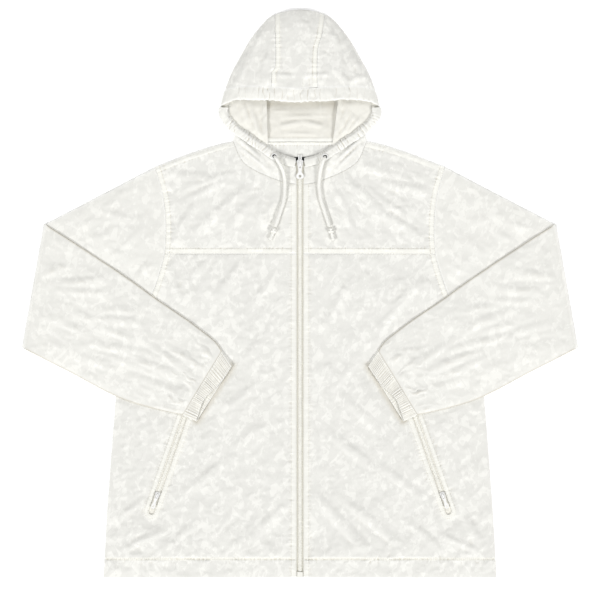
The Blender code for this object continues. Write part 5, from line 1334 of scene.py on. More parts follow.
def hood_half(u):
    """Half the hood's width at each height."""
    return across_at(HOOD_OUTLINE_PATH, u)


def brim_edge(x):
    """Where the brim's edge is at each place across."""
    return across_at(BRIM_PATH, np.abs(x))


def over_brim(x):
    """Where the hood starts above the brim's casing."""
    return brim_edge(x) + BRIM_DEPTH + 0.00003


def hood_roof(x, u):
    """Top of the hood's upper layer: an arch at the brim that runs out to the crown."""
    up = np.clip((u - BRIM_EDGE[0][1]) / (CROWN_U - BRIM_EDGE[0][1]), 0.0, 1.0)
    across = np.clip(np.abs(x) / hood_half(u), 0.0, 1.0)
    return HOOD_EDGE + BRIM_RISE * np.sqrt(1.0 - up ** 2) * (1.0 - across ** 2.2) ** 0.6


def brim_ruck(x, depth):
    """The brim's gathers, shared by its casing and the hood above it."""
    f = 0.5 * (1.0 + x / 0.132) + 0.010 * look_up(WANDER_X, x + 0.3, BRIM_DEPTH * depth)
    folded = shards(x, BRIM_DEPTH * depth, 0.0085, 70.0, 1.4, 0.2)
    return 0.75 * gathers(f, 0.1 * depth, BRIM_WAVES, 3) + 0.65 * folded - 0.35


def hood_creases(x, u, side, seam_away):
    """The hood's folds and crinkles, and the gathers that run up from its brim."""
    flat = np.column_stack([np.abs(x).ravel(), u.ravel()])
    above = np.clip(u - brim_edge(x) - BRIM_DEPTH, 0.0, None)
    folded = relief(flat, HOOD_FOLDS[side]).reshape(x.shape) * step(0.0, 0.010, above)
    crinkle = LIFT + crumpled(x, u, 35.0 * side + 90.0, 0.15 + 0.2 * side, 1.3, 0.0012)
    off_band = 0.25 + 0.75 * step(HOOD_BAND - 0.001, HOOD_BAND + 0.004, seam_away)
    crinkle *= step(0.0, 0.012, above) * off_band
    drawn = 0.0020 * brim_ruck(x * (1.0 + 2.0 * above), 1.0 + 20.0 * above) * np.exp(-above / 0.020)
    at_band = np.exp(-np.abs(seam_away - HOOD_BAND) / PUCKER_REACH)
    sewn_in = 0.0009 * look_up(PUCKERS, u, 0.3 * seam_away) * at_band
    return folded + crinkle + drawn + sewn_in * step(0.0, 0.008, above)


HOOD_BAND = 0.0072      # topstitched band beside the hood's seams
HOOD_SINK = 0.0013      # the deepest that a fold goes into the hood's upper layer
HOOD_WALL = 0.0019


# A folded edge seen end on: how far its outer and inner walls draw back, and their heights
Folded = namedtuple("Folded", "back height inner_back inner_height")
CROWN_EDGE = [Folded(0.0006, 0.0006, 0.0013, 0.0014), Folded(0.0, 0.0020, 0.0010, 0.0020),
              Folded(0.0006, 0.0034, 0.0013, 0.0027)]
OUTLINE_EDGE = [Folded(0.0004, 0.0036, 0.0018, 0.0026), Folded(0.0, 0.0020, 0.0012, 0.0020),
                Folded(0.0005, 0.0006, 0.0015, 0.0013)]
CROWN_TURN = 0.0022     # how far before the crown the strip starts to turn over


def strip_inside(part, crown):
    """The strip's low layer, from its gathered foot to the crown: both walls and its tint, with painted
    shadow under the brim and beside the tucks.
    """
    t = np.linspace(0.0, 1.0, int(0.21 / HOOD_STEP))[None, :]
    u = HOOD_FOOT_U + t * (crown - CROWN_TURN - HOOD_FOOT_U)
    half = across_at(HOOD_FLOOR_PATH, u)
    x = part * (half - SEAM)
    foot = u - HOOD_FOOT_U
    on_welt = 1.0 - step(0.0050, 0.0060, foot)
    drawn = look_up(PUCKERS, x + 0.1, 0.3 * foot) * np.exp(-np.abs(foot - 0.0055) / 0.0045)
    flat = np.column_stack([x.ravel(), u.ravel()])
    folded = relief(flat, INSIDE_FOLDS).reshape(x.shape) + (0.0010 * on_welt + 0.0011 * drawn)
    crinkle = crumpled(x, u, 8.0, 0.5, 0.6, 0.0010)
    rise = np.maximum(folded + LIFT + crinkle, -SINK) * step(0.0, 0.02, 0.86 - u)
    away = (1.0 - np.abs(part)) * half
    # Painted shadow under the brim and beside the tucks' edges, taken off the tint
    under_brim = 0.34 * np.exp(-np.abs(BRIM_EDGE[0][1] - u) / 0.0075)
    deep = under_brim + 0.15 * np.exp(-np.abs(away - 0.008) / 0.006)
    return grid(x, u, 0.0), grid(x, u, WALL + rise), on_welt - deep


def strip_outside(part, crown, crown_x):
    """The strip's upper layer, from the crown down to the brim's seam: both walls and its tint."""
    side = np.where(part > 0, 1, -1)
    t = np.linspace(0.0, 1.0, int(0.155 / HOOD_STEP))[None, :]
    start = crown - CROWN_TURN
    u = start + (t ** 1.15) * (over_brim(crown_x) - start)
    seam_half = np.where(side > 0, across_at(HOOD_TOP_PATH[1], u), across_at(HOOD_TOP_PATH[-1], u))
    x = side * np.abs(part) * (seam_half - SEAM)
    away = (1.0 - np.abs(part)) * seam_half
    share = step(-0.030, 0.030, x)
    rise = share * hood_creases(x, u, 1, away) + (1.0 - share) * hood_creases(x, u, -1, away)
    dip = SEAM_DIP * (np.exp(-away / 0.0010) + bump(HOOD_BAND, 0.0015, away))
    band = 1.0 - step(HOOD_BAND - BAND_EDGE, HOOD_BAND + BAND_EDGE, away)
    sewn_up = 0.0008 * band * step(0.0, 0.05, 1.0 - t)
    risen = (np.maximum(rise, -HOOD_SINK) + sewn_up - dip) * np.minimum(1.0, 5.0 * t)
    roof = hood_roof(x, u)
    return grid(x, u, roof + risen), grid(x, u, roof - HOOD_WALL), band


def make_hood_center():
    """One strip: up the back, over the crown and down to the brim's seam."""
    part = np.linspace(-1.0, 1.0, int(0.090 / HOOD_STEP) + 1)[:, None]
    crown_x = part * (CROWN_HALF - SEAM)
    crown = CROWN_U - CROWN_DROP * (crown_x / CROWN_HALF) ** 2
    columns = [strip_inside(part, crown)]
    for edge in CROWN_EDGE:
        columns.append((grid(crown_x, crown - edge.back, edge.height),
                        grid(crown_x, crown - edge.inner_back, edge.inner_height), 0.0 * crown_x))
    columns.append(strip_outside(part, crown, crown_x))
    outer, inner, tint = (np.hstack(layer) for layer in zip(*columns))
    return shell("hood_center", outer, inner, tint=tint)


def make_hood_side(side, name):
    """From the top seam out to the outline, under it and in to the strip's edge on the floor."""
    end_u, split_u = 0.9275, 0.800
    below = np.linspace(HOOD_FOOT_U, split_u, 24)[:-1]
    t = np.linspace(0.0, 1.0, int(0.135 / HOOD_STEP)) ** 0.95
    floor_u = np.concatenate([below, split_u + t * (end_u - split_u)])[:, None]
    up = np.concatenate([np.full(len(below), -1.0), t])[:, None]
    shown = up >= 0.0
    part = 1.0 - (1.0 - np.linspace(0.0, 1.0, int(0.100 / HOOD_STEP)))[None, :] ** 1.4
    u = np.broadcast_to(floor_u, (len(floor_u), part.shape[1]))
    for _ in range(4):
        seam = across_at(HOOD_TOP_PATH[side], u) + SEAM
        x = seam + part * (hood_half(u) - 0.0016 - seam)
        low = over_brim(x)
        u = np.where(shown, low + up * (end_u - low), floor_u)
    seam_away = x - seam
    quiet = np.clip(8.0 * (1.0 - up), 0.0, 1.0) * shown * (0.3 + 0.7 * step(0.0, 0.06, 1.0 - part))
    rise = np.maximum(hood_creases(side * x, u, side, seam_away + HOOD_BAND), -HOOD_SINK)
    dip = SEAM_DIP * np.exp(-seam_away / 0.0010)
    outer = [grid(x, u, hood_roof(x, u) + rise * quiet - dip * (up > 0))]
    x_in = seam + part * (hood_half(u) - 0.0028 - seam)
    inner = [grid(x_in, u, hood_roof(x_in, u) - HOOD_WALL)]
    edge_u = 0.5 * (u[:, -1:] + floor_u)
    half = hood_half(edge_u)
    for edge in OUTLINE_EDGE:
        outer.append(grid(half - edge.back, edge_u, edge.height))
        inner.append(grid(half - edge.inner_back, edge_u, edge.inner_height))
    seam = across_at(HOOD_FLOOR_PATH, floor_u) + SEAM
    across = np.linspace(0.0, 1.0, 14)[None, :]
    for walls, back, height in ((outer, 0.0018, 0.0), (inner, 0.0026, WALL)):
        edge = hood_half(floor_u)
        walls.append(grid(edge - back + across * (seam - edge + back), floor_u, height))
    outer, inner = np.hstack(outer), np.hstack(inner)
    mask = np.ones((len(floor_u) - 1, outer.shape[1] - 1), dtype=bool)
    mask[:len(below), :part.shape[1] + 2] = False
    return shell(name, outer, inner, side, mask)


def make_hood_tuck(side, name):
    """The hood's side folded inwards behind the opening, seen from inside."""
    edge_line = np.array(TUCK_EDGE[side])
    loop = joined(straight_path(edge_line, 0.003), smooth_path(TUCK_OUTER, 0.003), edge_line[:1])
    casing = np.array(CASING_LINE)

    def under(p, edge):
        near = np.exp(-distance(p, edge_line) / 0.020)
        return LAYER_2 + TUCK_RISE * near * step(0.004, 0.020, distance(p, casing))

    def over(p, edge):
        hemmed = 1.0 - step(TUCK_HEM - 0.001, TUCK_HEM + 0.001, distance(p, edge_line))
        free = step(0.004, 0.018, distance(p, casing))
        crinkle = LIFT + crumpled(*p.T, lean=90.0 - 10.0 * side, shift=0.6 + 0.1 * side, size=1.6)
        rise = relief(p, TUCK_FOLDS[side]) + np.maximum(crinkle, -SINK)
        # Painted shadow under the brim, taken off the tucks' tint
        shade = 0.26 * np.exp(-np.clip(BRIM_EDGE[0][1] - p[:, 1], 0.0, None) / 0.010)
        return under(p, edge) + WALL + (WALL + 0.0004) * hemmed + free * rise, TUCK_TINT - shade

    return panel(name, [loop], under, over, side, HOOD_STEP)


def make_brim_casing():
    """The gathered casing along the brim."""
    part = np.linspace(-1.0, 1.0, 16 * BRIM_WAVES + 1)[:, None]
    depth = np.array([0.0, 0.03, 0.09, 0.17, 0.26, 0.36, 0.46, 0.56, 0.66, 0.76, 0.85, 0.93, 1.0])
    x = part * np.full(len(depth), 0.128)
    for _ in range(5):
        u = brim_edge(x) + depth * (BRIM_DEPTH - 0.00003)
        x = part * (hood_half(u) - 0.0002)
    fade = np.clip(8.0 * (1.0 - np.abs(part)), 0.0, 1.0)
    wave = brim_ruck(x, depth)
    ruffle = gathers(0.5 * (part + 1.0), 0.0, BRIM_WAVES, 3) - 0.5
    u = u + 0.0021 * ruffle * fade * (1.0 - depth) ** 2
    roll = np.sqrt(np.clip(1.0 - (1.0 - np.minimum(depth / 0.20, 1.0)) ** 2, 0.0, 1.0))
    puff = 0.0006 * humped(depth, 0.6)
    stitched = 0.0003 * bump(0.86, 0.07, depth)
    top = hood_roof(x, u) - 0.0016 + 0.0016 * roll + puff * fade + 0.0020 * wave * fade - stitched
    thick = CASING * (0.60 + 0.40 * np.sin(np.pi * depth))
    return shell("hood_brim_casing", grid(x, u, top), grid(x, u, top - thick),
                 tint=np.full(x.shape, CASING_TINT))


def make_side_casing(side, name):
    """The gathered casing down one side of the hood's opening to the zip.

    v runs across it from -1 at its outer edge to 1 at its inner one, which rolls down to the tuck.
    """
    part = np.linspace(0.0, 1.0, 20 * CASING_WAVES + 1)[:, None]
    along = part[:, 0]
    ahead, behind = np.minimum(1.0, along + 0.02), np.maximum(0.0, along - 0.02)
    way = unit(read(CASING_PATH, ahead) - read(CASING_PATH, behind))
    inwards = np.column_stack([way[:, 1], -way[:, 0]])[:, None, :]
    outer_z, inner_z = (np.interp(along, *zip(*((h.part, getattr(h, edge)) for h in CASING_HEIGHTS)))[:, None]
                        for edge in ("outer", "inner"))
    v = np.sin(np.linspace(-0.5, 0.5, 17) * np.pi)[None, :]
    ends = np.minimum(1.0, 8.0 * part + 0.2) * np.minimum(1.0, 10.0 * (1.02 - part))
    wave = (gathers(part + 0.012 * v, 0.4 * v, 1.15 * CASING_WAVES, 2 + side)
            + 0.4 * gathers(part - 0.008 * v, 0.4 * v, 2.5 * CASING_WAVES, 7 - side) - 0.7) * ends
    reach = v * (CASING_HALF + 0.0011 * wave * np.abs(v))
    plan = read(CASING_PATH, along)[:, None, :] + reach[..., None] * inwards
    level = outer_z + (inner_z - outer_z) * 0.5 * (v + 1.0)
    crown = np.sqrt(np.clip(1.0 - v ** 2, 0.0, 1.0))
    calm_end = 1.0 - 0.6 * step(0.74, 0.90, part)
    top = level - 0.0011 + 0.0016 * crown + 0.0019 * wave * calm_end * (0.25 + 0.75 * crown)
    rolled = np.clip(level - 0.0055, 0.0, 0.0034) * step(0.30, 1.0, v) * np.minimum(1.0, 8.0 * part)
    low = np.maximum(level - CASING + 0.0009 * (1.0 - crown) - rolled, np.minimum(0.0031, level - CASING))
    x, u = np.maximum(plan[..., 0], 0.0070), plan[..., 1]
    outer = grid(x, u, top - rolled)
    centre = 0.25 * (outer[1:, 1:] + outer[:-1, 1:] + outer[1:, :-1] + outer[:-1, :-1])[..., :2]
    middle = 0.5 * (EYELET["inner"] + EYELET["outer"])
    holed = np.linalg.norm(centre - EYELET_AT[side], axis=-1) > middle
    return shell(name, outer, grid(x, u, low), side, holed, np.full(x.shape, CASING_TINT))


def make_collar(side, name):
    """The hood's low front, between the neck seam and the casing."""
    loop = joined(np.array(NECK_SEAM[:4:-1]), NECK_PATH[::-1], np.array(COLLAR_BACK),
                  smooth_path(COLLAR_TOP[::-1], 0.0035))
    seam = Seam(NECK_LINE, pucker=0.00055)
    line = np.array(NECK_SEAM)

    def under(p, edge):
        rise = COLLAR_RISE * step(0.001, 0.018, distance(p, line)) * step(0.012, 0.040, p[:, 0])
        return LAYER_2 + np.maximum(zip_ledge(p), rise)

    def over(p, edge):
        crinkle = LIFT + crumpled(*p.T, 140.0, 0.42 + 0.08 * side, 0.8, 0.0003)
        crinkle += sewn(p, [seam], 0.2)[0] + relief(p, COLLAR_FOLDS[side])
        rise = np.clip(crinkle, -SINK, 0.0042) * step(0.0, 0.006, edge)
        return under(p, edge) + WALL + rise, np.full(len(p), COLLAR_TINT)

    return panel(name, [inset(loop, SEAM)], under, over, side, HOOD_STEP, [seam])


# ---- zips ----------------------------------------------------------------------------------------
def prisms(blocks):
    """Points and faces of closed blocks, each a low and a high loop of the same count."""
    points, faces = [], []
    for low, high in blocks:
        first, count = len(points), len(low)
        points += list(low) + list(high)
        faces += [tuple(first + k for k in range(count)), tuple(first + count + k for k in range(count))]
        faces += [(first + k, first + (k + 1) % count, first + count + (k + 1) % count, first + count + k)
                  for k in range(count)]
    return points, faces


def set_at(local, centre, way):
    """Local (across, ahead, height) points at a centre with ahead along a way."""
    across = (way[1], -way[0])
    return [(centre[0] + a * across[0] + b * way[0], centre[1] + a * across[1] + b * way[1], z)
            for a, b, z in local]


BEVEL = 0.0003          # off the top corners of a coil's bars


def make_coil(name, sizes, centre, way, side, pitch=0.0021):
    """A closed coil zip: bars from both sides that cross over its middle, on one base."""
    half, low, high = sizes["half"], sizes["low"], sizes["high"]
    wide = 0.36 * pitch
    blocks = []
    for k in range(int((sizes["end"] - sizes["start"]) / pitch)):
        along = sizes["start"] + (k + 0.5) * pitch
        reach = half if k % 2 else -half
        ends = []
        for a, top in ((reach, high - BEVEL), (-0.35 * reach, high)):
            section = ((-wide, low), (wide, low), (wide, top - BEVEL), (0.3 * wide, top),
                       (-0.3 * wide, top), (-wide, top - BEVEL))
            ends.append(set_at([(a, along + b, z) for b, z in section], centre, way))
        blocks.append(ends)
    base = []
    for along in (sizes["start"], sizes["end"]):
        section = ((-0.92, 0.0), (0.92, 0.0), (0.80, 0.55), (-0.80, 0.55))
        base.append(set_at([(a * half, along, low + z * (high - low)) for a, z in section], centre, way))
    return add_piece(name, *prisms(blocks + [base]), side)


# Right half of a slider's plate, and its flange, in shares of its half width and length
SLIDER_OUTLINE = [(0.45, -0.98), (0.74, -0.74), (0.86, -0.10), (1.08, 0.48), (1.02, 0.74), (0.32, 1.0)]
FLANGE = [(1.0, 0.55), (0.80, -0.60), (0.66, -0.60), (0.86, 0.55)]
ARCH_SIDES = 8


def make_slider(name, sizes, centre, way, foot, side=1):
    """A cast slider: two plates with flanges between them, and the arch that holds the pull."""
    half, ahead, body = sizes["half"], sizes["ahead"], sizes["body"]
    right = [(a * half, b * ahead) for a, b in SLIDER_OUTLINE]
    outline = right + [(-a, b) for a, b in right[::-1]]

    def plate(low, high, inset_by):
        rim = [(a, b, foot + low) for a, b in outline]
        top = [(a * (1.0 - inset_by), b * (1.0 - inset_by), foot + high) for a, b in outline]
        return set_at(rim, centre, way), set_at(top, centre, way)

    blocks = [plate(0.0, 0.0008, 0.03), plate(body - 0.0012, body - 0.0003, 0.0),
              plate(body - 0.0003, body, 0.10)]
    for sign in (-1, 1):
        flange = [(sign * a * half, b * ahead) for a, b in FLANGE]
        blocks.append([set_at([(a, b, foot + z) for a, b in flange], centre, way)
                       for z in (0.0006, body - 0.0010)])
    end, arch = sizes["leg"][1], sizes["arch"]
    middle = 0.5 * (arch[0] + arch[1])
    line = smooth_path([(-end + 0.0007, body - 0.0008), (-end + 0.0007, 0.72 * middle),
                        (-0.55 * end, middle), (0.55 * end, middle),
                        (end - 0.0007, 0.72 * middle), (end - 0.0007, body - 0.0008)], 0.0009)
    wide, thick = sizes["bridge_half"], 0.5 * (arch[1] - arch[0])
    sections = []
    for b, z in line:
        ring = []
        for turn in 2.0 * np.pi * (np.arange(ARCH_SIDES) + 0.5) / ARCH_SIDES:
            out = 1.0 + thick * math.sin(turn) / max(abs(z), 0.002)
            ring.append((1.05 * wide * math.cos(turn), b * out, foot + z * out))
        sections.append(set_at(ring, centre, way))
    blocks += list(zip(sections[:-1], sections[1:]))
    return add_piece(name, *prisms(blocks), side)


# ---- drawcords and eyelets -----------------------------------------------------------------------
def drawcord_path(side):
    """The cord's middle line, out of its eyelet and down to its knot."""
    line = [np.array(p) for p in CORD_LINE[side]]
    way = (line[1] - line[0])[:2]
    way /= np.linalg.norm(way)
    hole = np.array(EYELET_AT[side])
    start = [(*(hole + ahead * way), height) for ahead, height in ((0.0008, 0.0085), (0.0020, 0.0118))]
    return smooth_path(start + [tuple(p) for p in line[1:]], 0.0008)


STRANDS = 8.0           # round the cord
TWIST_PITCH = 0.0085    # length after which the braid's pattern comes again
BRAID_RISE = 0.00034    # how far a strand stands out of the cord


def make_cord(side, word):
    """A braided drawcord and its middle line, squeezed a little where it leaves the eyelet."""
    path = drawcord_path(side)
    run = run_of(path)[:, None]
    around = 24
    turns = 0.5 * STRANDS * full_turn(around)[None, :]
    twist = 2.0 * np.pi * run / TWIST_PITCH
    braid = np.maximum(np.cos(turns + twist), np.cos(turns - twist))
    squeezed = 0.68 + 0.32 * step(0.001, 0.010, run)
    radii = squeezed * (CORD_RADIUS - 0.00030 + BRAID_RISE * np.abs(braid))
    points, faces = swept_tube(path * (side, 1.0, 1.0), radii, around)
    piece = add_piece("drawcord_piece_" + word, points, faces)
    return piece, path * (side, 1.0, 1.0) - (0.0, HEM_Y, 0.0)


STRAND = 0.0021         # half the thickness of the cord where the knot squeezes it
TAIL_RADII = 9 * (0.0027,) + (0.0029, 0.0028, 0.0030, 0.0031, 0.0030, 0.0024)


def make_knot(side, word):
    """An overhand knot pulled tight, then the cord's short tail."""
    end, before = np.array(CORD_LINE[side][-1]), np.array(CORD_LINE[side][-2])
    way = (end - before)[:2] / np.linalg.norm((end - before)[:2])
    across = np.array([way[1], -way[0]])
    centre = end[:2] + (KNOT_HALF[1] + 0.0022) * way
    floor = TUBE + GAP
    t = np.linspace(-0.12, 2.0 * np.pi + 0.12, 90)
    loop = [0.0026 * np.sin(t) + 0.0030 * np.sin(2.0 * t), 0.0026 * np.cos(t) - 0.0030 * np.cos(2.0 * t),
            0.0014 * np.sin(3.0 * t)]
    a, b, z = (row * ((half - STRAND) / np.abs(row).max()) for row, half in zip(loop, KNOT_HALF))
    plan = centre + a[:, None] * across + b[:, None] * way
    path = np.column_stack([plan, floor + KNOT_HALF[2] + z])
    points, faces = swept_tube(path * (side, 1.0, 1.0), np.full(len(path), STRAND), 14)
    runs = np.linspace(-0.9, 0.9, 9)[:, None]
    core = np.column_stack([centre + runs * KNOT_HALF[1] * way, np.full(9, floor + KNOT_HALF[2] * 0.9)])
    core_radii = 0.0030 * np.sqrt(1.02 - np.linspace(-1, 1, 9) ** 2)
    more, more_faces = swept_tube(core * (side, 1.0, 1.0), core_radii, 14)
    faces = faces + [tuple(len(points) + v for v in face) for face in more_faces]
    knot = add_piece("cord_knot_piece_" + word, np.vstack([points, more]), faces)

    tail_way = np.array(TIP_WAY[side]) / np.linalg.norm(TIP_WAY[side])
    runs = np.linspace(-0.0012, TIP_LENGTH + 0.0004, len(TAIL_RADII))[:, None]
    line = np.column_stack([centre + KNOT_HALF[1] * way + runs * tail_way,
                            np.full(len(runs), floor + CORD_RADIUS)])
    points, faces = swept_tube(line * (side, 1.0, 1.0), TAIL_RADII, 20)
    return knot, add_piece("cord_tip_piece_" + word, points, faces)


BARREL_FOOT = 0.0070
EYELET_SHADOW_DISC = dict(radius=0.0038, low=0.0058, high=0.0066)     # a dark disc of painted shadow for the channel's shade, seen through the eyelet


def make_eyelet(side, word):
    """A turned eyelet with a rolled rim and a barrel through the casing, over a dark disc of painted shadow
    in its channel.
    """
    low, high = EYELET["low"], EYELET["high"]
    inner, outer = EYELET["inner"], EYELET["outer"]
    profile = [(inner, BARREL_FOOT), (inner, high - 0.0001), (inner + 0.0003, high + 0.0003),
               (0.5 * (inner + outer), high + 0.0006), (outer - 0.0004, high + 0.0002),
               (outer, low + 0.0003), (outer - 0.0002, low - 0.0003), (inner + 0.0006, low - 0.0003),
               (inner + 0.0004, BARREL_FOOT)]
    turns = full_turn(40)
    radius, height = np.array(profile).T[..., None]
    x, u = EYELET_AT[side]
    rings = grid(x + radius * np.cos(turns), u + radius * np.sin(turns), height)
    faces = sheet_faces(len(profile), len(turns), close_rows=True, close_columns=True)
    ring = add_piece("eyelet_piece_" + word, rings.reshape(-1, 3), faces, side)
    wide = EYELET_SHADOW_DISC["radius"]
    disc = [[(x + wide * math.cos(t), u + wide * math.sin(t), EYELET_SHADOW_DISC[end]) for t in turns]
            for end in ("low", "high")]
    return ring, add_piece("eyelet_channel_" + word, *prisms([disc]), side)


# ---- stitching -----------------------------------------------------------------------------------
STITCHES = []           # (place, way, normal) of each stitch
TREES = {}              # each sewn piece's faces, to find its surface by
# A stitch's four sections: how far along it, how high and how thick, in shares of its sizes
STITCH_SECTIONS = ((-0.5, -0.1, 0.5), (-0.2, 0.75, 1.0), (0.2, 0.75, 1.0), (0.5, -0.1, 0.5))


def sew(piece, path, side, pitch=0.0033):
    """Lays a row of stitches on a piece of cloth along a path of (x, u)."""
    path = np.asarray(path, dtype=float)
    places = np.arange(0.5 * pitch, run_of(path)[-1], pitch)
    spots = at_run(path, places)
    ahead = at_run(path, places + 0.0005) - spots
    if piece.name not in TREES:
        TREES[piece.name] = BVHTree.FromPolygons([v.co for v in piece.data.vertices],
                                                 [p.vertices for p in piece.data.polygons])
    for (x, u), (dx, du) in zip(spots, ahead):
        above = Vector((side * x, u - HEM_Y, 0.05))
        place, normal, _, _ = TREES[piece.name].ray_cast(above, Vector((0, 0, -1)))
        if place is not None and (dx or du):
            way = Vector((side * dx, du, 0.0)).normalized()
            way = (way - way.dot(normal) * normal).normalized()
            STITCHES.append((place, way, normal))


def make_stitches(length=0.0022, wide=0.00030, high=0.00022):
    """Every stitch as a small rounded bar sunk a little in the cloth at both ends."""
    points = []
    for place, way, normal in STITCHES:
        across = way.cross(normal)
        for along, rise, size in STITCH_SECTIONS:
            centre = place + along * length * way + rise * high * normal + Vector((0.0, HEM_Y, 0.0))
            points += [tuple(centre + size * (a * wide * across + b * high * normal))
                       for a, b in ((-1, 0), (0, 1), (1, 0), (0, -1))]
    faces = []
    for first in range(0, len(points), 4 * len(STITCH_SECTIONS)):
        faces += [tuple(end + n for n in range(4)) for end in (first, first + 12)]
        for ring in range(first, first + 12, 4):
            faces += [(ring + n, ring + (n + 1) % 4, ring + 4 + (n + 1) % 4, ring + 4 + n)
                      for n in range(4)]
    return add_piece("topstitching", points, faces, sharp=80.0)


# ---- putting it together -------------------------------------------------------------------------
def place_piece(piece, node_names, material, slot, inside=None):
    """Gives a piece its finish, and another on its inner wall, and puts it in its nodes' place."""
    piece.data.materials.append(material)
    if inside is not None:
        piece.data.materials.append(inside)
        half = len(piece.data.vertices) // 2
        for polygon in piece.data.polygons:
            polygon.material_index = int(min(polygon.vertices) >= half)
    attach(piece, "root")
    if node_names:
        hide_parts(*node_names)


make_camera()
make_floor()
make_lights()

CLOTH = cloth_material("camouflage nylon", BASE)
LINING = cloth_material("nylon inside the hood", INNER, LINING_TONES)
RIBBED = cloth_material("gathered nylon", WARM)
# Woven and braided: a colour and its dark, then the threads' scale and depth, and the roughness
TAPE = fabric_material("zip tape", (0.74, 0.72, 0.64), (0.64, 0.62, 0.54), 520.0, 0.00005, 0.75)
# A lighter copy of the zip tape: painted light that offsets the shade in the pockets' slots
POCKET_ZIP_TAPE_PAINTED_LIGHT = fabric_material("pocket zip tape", (0.88, 0.86, 0.79), (0.80, 0.78, 0.71),
                              520.0, 0.00005, 0.75)
CORD = fabric_material("braided cord", (0.95, 0.945, 0.90), (0.88, 0.87, 0.82),
                       380.0, 0.00008, 0.6, turn=0.78)
THREAD = fabric_material("thread", (0.86, 0.83, 0.73), (0.78, 0.75, 0.65), 900.0, 0.00004, 0.6)
LABEL = fabric_material("black woven label", grey(0.022), grey(0.008), 700.0, 0.00006, 0.8)
# Painted shadow: a near-black finish for the disc seen down each eyelet
EYELET_SHADOW_FINISH = fabric_material("painted shadow inside the channel", (0.10, 0.095, 0.085), (0.06, 0.057, 0.05),
                       700.0, 0.00006, 0.9)
# Moulded and enamelled: a colour and its dull one, then the roughness
TEETH = hard_material("coil teeth", (0.90, 0.89, 0.83), (0.85, 0.84, 0.78), 0.35)
ENAMEL = hard_material("white enamel", (0.95, 0.95, 0.94), (0.91, 0.91, 0.90), 0.30, coat=0.4)

pieces = {}
for side, word in SIDES:
    cord, line = make_cord(side, word)
    knot, tip = make_knot(side, word)
    for piece, stem in ((cord, "drawcord_"), (knot, "cord_knot_"), (tip, "cord_tip_")):
        place_piece(piece, [stem + word], CORD, "cord")
    tuple(line[0])
    round(float(run_of(line)[-1]), 3)
    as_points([tuple(p) for p in line[::4]] + [tuple(line[-1])])
    ring, channel = make_eyelet(side, word)
    place_piece(ring, ["eyelet_" + word], ENAMEL, "enamelled_metal")
    # The disc under the eyelet is painted shadow
    place_piece(channel, [], EYELET_SHADOW_FINISH, "cloth")

pieces["back"] = make_back()
pieces["hood_center"] = make_hood_center()
pieces["hood_brim_casing"] = make_brim_casing()
for side, word in SIDES:
    for stem, make in (("front", make_front), ("yoke", make_yoke), ("sleeve", make_sleeve),
                       ("cuff", make_cuff), ("hood_side", make_hood_side), ("hood_tuck", make_hood_tuck),
                       ("hood_side_casing", make_side_casing), ("collar", make_collar)):
        node = stem + "_" + word
        pieces[node] = make(side, node + "_piece")
LINED = ("hood_center", "hood_side_left", "hood_side_right")
for node, piece in pieces.items():
    piece.name = node + "_piece"
    finish = LINING if "tuck" in node else RIBBED if "cuff" in node else CLOTH
    place_piece(piece, [node], finish, "elastic" if "cuff" in node else "cloth",
                LINING if node in LINED else None)

# Each sheet's cut: its flat width and length, the area where that isn't a rectangle, and how it is held
Cut = namedtuple("Cut", "stem width length area held rests_on")
CUTS = [Cut("back", 0.648, 0.719, 0.395, "laid", ()),
        Cut("front", 0.318, 0.534, 0.155, "laid", ("back_piece",)),
        Cut("yoke", 0.234, 0.185, 0.0343, "laid", ("back_piece",)),
        Cut("collar", 0.106, 0.085, 0.0037, "laid", ("back_piece",)),
        Cut("sleeve", 0.580, 0.500, 0.204, "folded", ("front_{}_piece", "back_piece")),
        Cut("cuff", 0.310, 0.027, None, "gathered", ("front_{}_piece",)),
        Cut("hood_center", 0.124, 0.352, 0.0346, "folded", ()),
        Cut("hood_side", 0.160, 0.208, 0.0180, "folded", ()),
        Cut("hood_tuck", 0.066, 0.118, 0.0058, "folded", ("hood_side_{}_piece",)),
        Cut("hood_brim_casing", 0.330, 0.022, None, "gathered", ()),
        Cut("hood_side_casing", 0.200, 0.016, None, "gathered", ("collar_{}_piece", "hood_tuck_{}_piece"))]
for cut in CUTS:
    for word in [""] if cut.stem in pieces else [word for _, word in SIDES]:
        [name.format(word) for name in cut.rests_on]

MAIN_SLIDER = dict(half=0.005, ahead=0.007, body=0.0026, bridge_half=0.0012, leg=(0.0032, 0.0046),
                   arch=(0.0056, 0.0068))
POCKET_SLIDER = dict(half=0.0040, ahead=0.0060, body=0.0024, bridge_half=0.0010,
                     leg=(0.0030, 0.0042), arch=(0.0052, 0.0063))
SLIDER_U = 0.6825
POCKET_SLIDER_AT = 0.0280
TOP_STOP = dict(plan=((0.0004, 0.6888), (0.0030, 0.6888), (0.0026, 0.6968), (0.0009, 0.6972)),
                heights=(0.0021, 0.0036))
UP = (0.0, 1.0)
coil = make_coil("main_zip_coil", CHAIN, (0.0, 0.0), UP, 1)
place_piece(coil, ["main_zip_chain"], TEETH, "zip_teeth")
stops = [[[(side * x, u, z) for x, u in TOP_STOP["plan"]] for z in TOP_STOP["heights"]]
         for side, _ in SIDES]
place_piece(add_piece("main_zip_top_stops", *prisms(stops)), [], ENAMEL, "enamelled_metal")
slider = make_slider("main_slider_piece", MAIN_SLIDER, (0.0, SLIDER_U), UP, LAYER_3)
place_piece(slider, ["main_slider"], ENAMEL, "enamelled_metal")
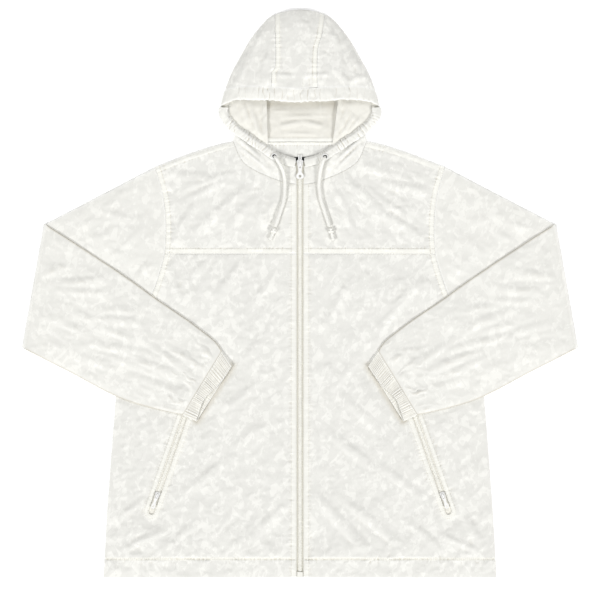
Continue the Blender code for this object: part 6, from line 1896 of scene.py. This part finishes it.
for side, word in SIDES:
    coil = make_coil("pocket_zip_coil_" + word, POCKET_CHAIN, POCKET_START, POCKET_WAY, side)
    place_piece(coil, ["pocket_zip_chain_" + word], TEETH, "zip_teeth")
    centre = POCKET[0] + POCKET_SLIDER_AT * POCKET_WAY
    slider = make_slider("pocket_slider_piece_" + word, POCKET_SLIDER, centre, POCKET_WAY, LAYER_3, side)
    place_piece(slider, ["pocket_slider_" + word], ENAMEL, "enamelled_metal")

for side, word in SIDES:
    front, yoke, center = pieces["front_" + word], pieces["yoke_" + word], pieces["hood_center"]
    for away in (0.0012, ZIP_BAND):
        sew(front, [(EDGE_X + away, 0.003), (EDGE_X + away, YOKE_U - 0.002)], side)
        sew(yoke, [(EDGE_X + away, YOKE_U + 0.002), (EDGE_X + away, 0.648)], side)
    for u in (YOKE_U + 0.0014, YOKE_U + YOKE_BAND - 0.0010):
        sew(yoke, [(0.018, u), (0.2205, u)], side)
    for u in (HEM_DEPTH, HEM_DEPTH + 0.0024):
        sew(front, [(0.010, u), (0.3205, u)], side)
    for away in (0.0014, ARM_BAND - 0.0004):
        sew(front, offset_path(smooth_path(LOW_ARMHOLE, 0.004), away), side)
        sew(yoke, offset_path(smooth_path(HIGH_ARMHOLE, 0.004), away), side)
    for away in (0.0012, WELT - 0.0004):
        sew(front, closed(capsule(POCKET_SLOT + away, 0.004)), side)
    sew(yoke, offset_path(smooth_path(NECK_SEAM, 0.004), 0.0014), side)
    for away in (0.0014, HOOD_BAND - 0.0004):
        seam = [(across_at(HOOD_TOP_PATH[side], u) - away, u) for u in np.linspace(0.812, 0.927, 30)]
        sew(center, seam, side)
place_piece(make_stitches(), [], THREAD, "cloth")

# Solids of the frame that stay, with their finishes
FINISHES = {"main_zip_box": TEETH, "main_pull": ENAMEL, "neck_label": LABEL}
for _, word in SIDES:
    FINISHES["main_zip_tape_" + word] = TAPE
    FINISHES["pocket_zip_tape_" + word] = POCKET_ZIP_TAPE_PAINTED_LIGHT
    FINISHES["pocket_pull_" + word] = ENAMEL
EDGE_ROUNDING = 0.00028
for node, finish in FINISHES.items():
    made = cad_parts[node]
    made.data.materials.clear()
    made.data.materials.append(finish)
    if finish in (ENAMEL, TEETH):
        rounded = made.modifiers.new("rounded edges", "BEVEL")
        rounded.width = EDGE_ROUNDING
        rounded.segments = 2
        rounded.limit_method = "ANGLE"

bpy.context.view_layer.update()
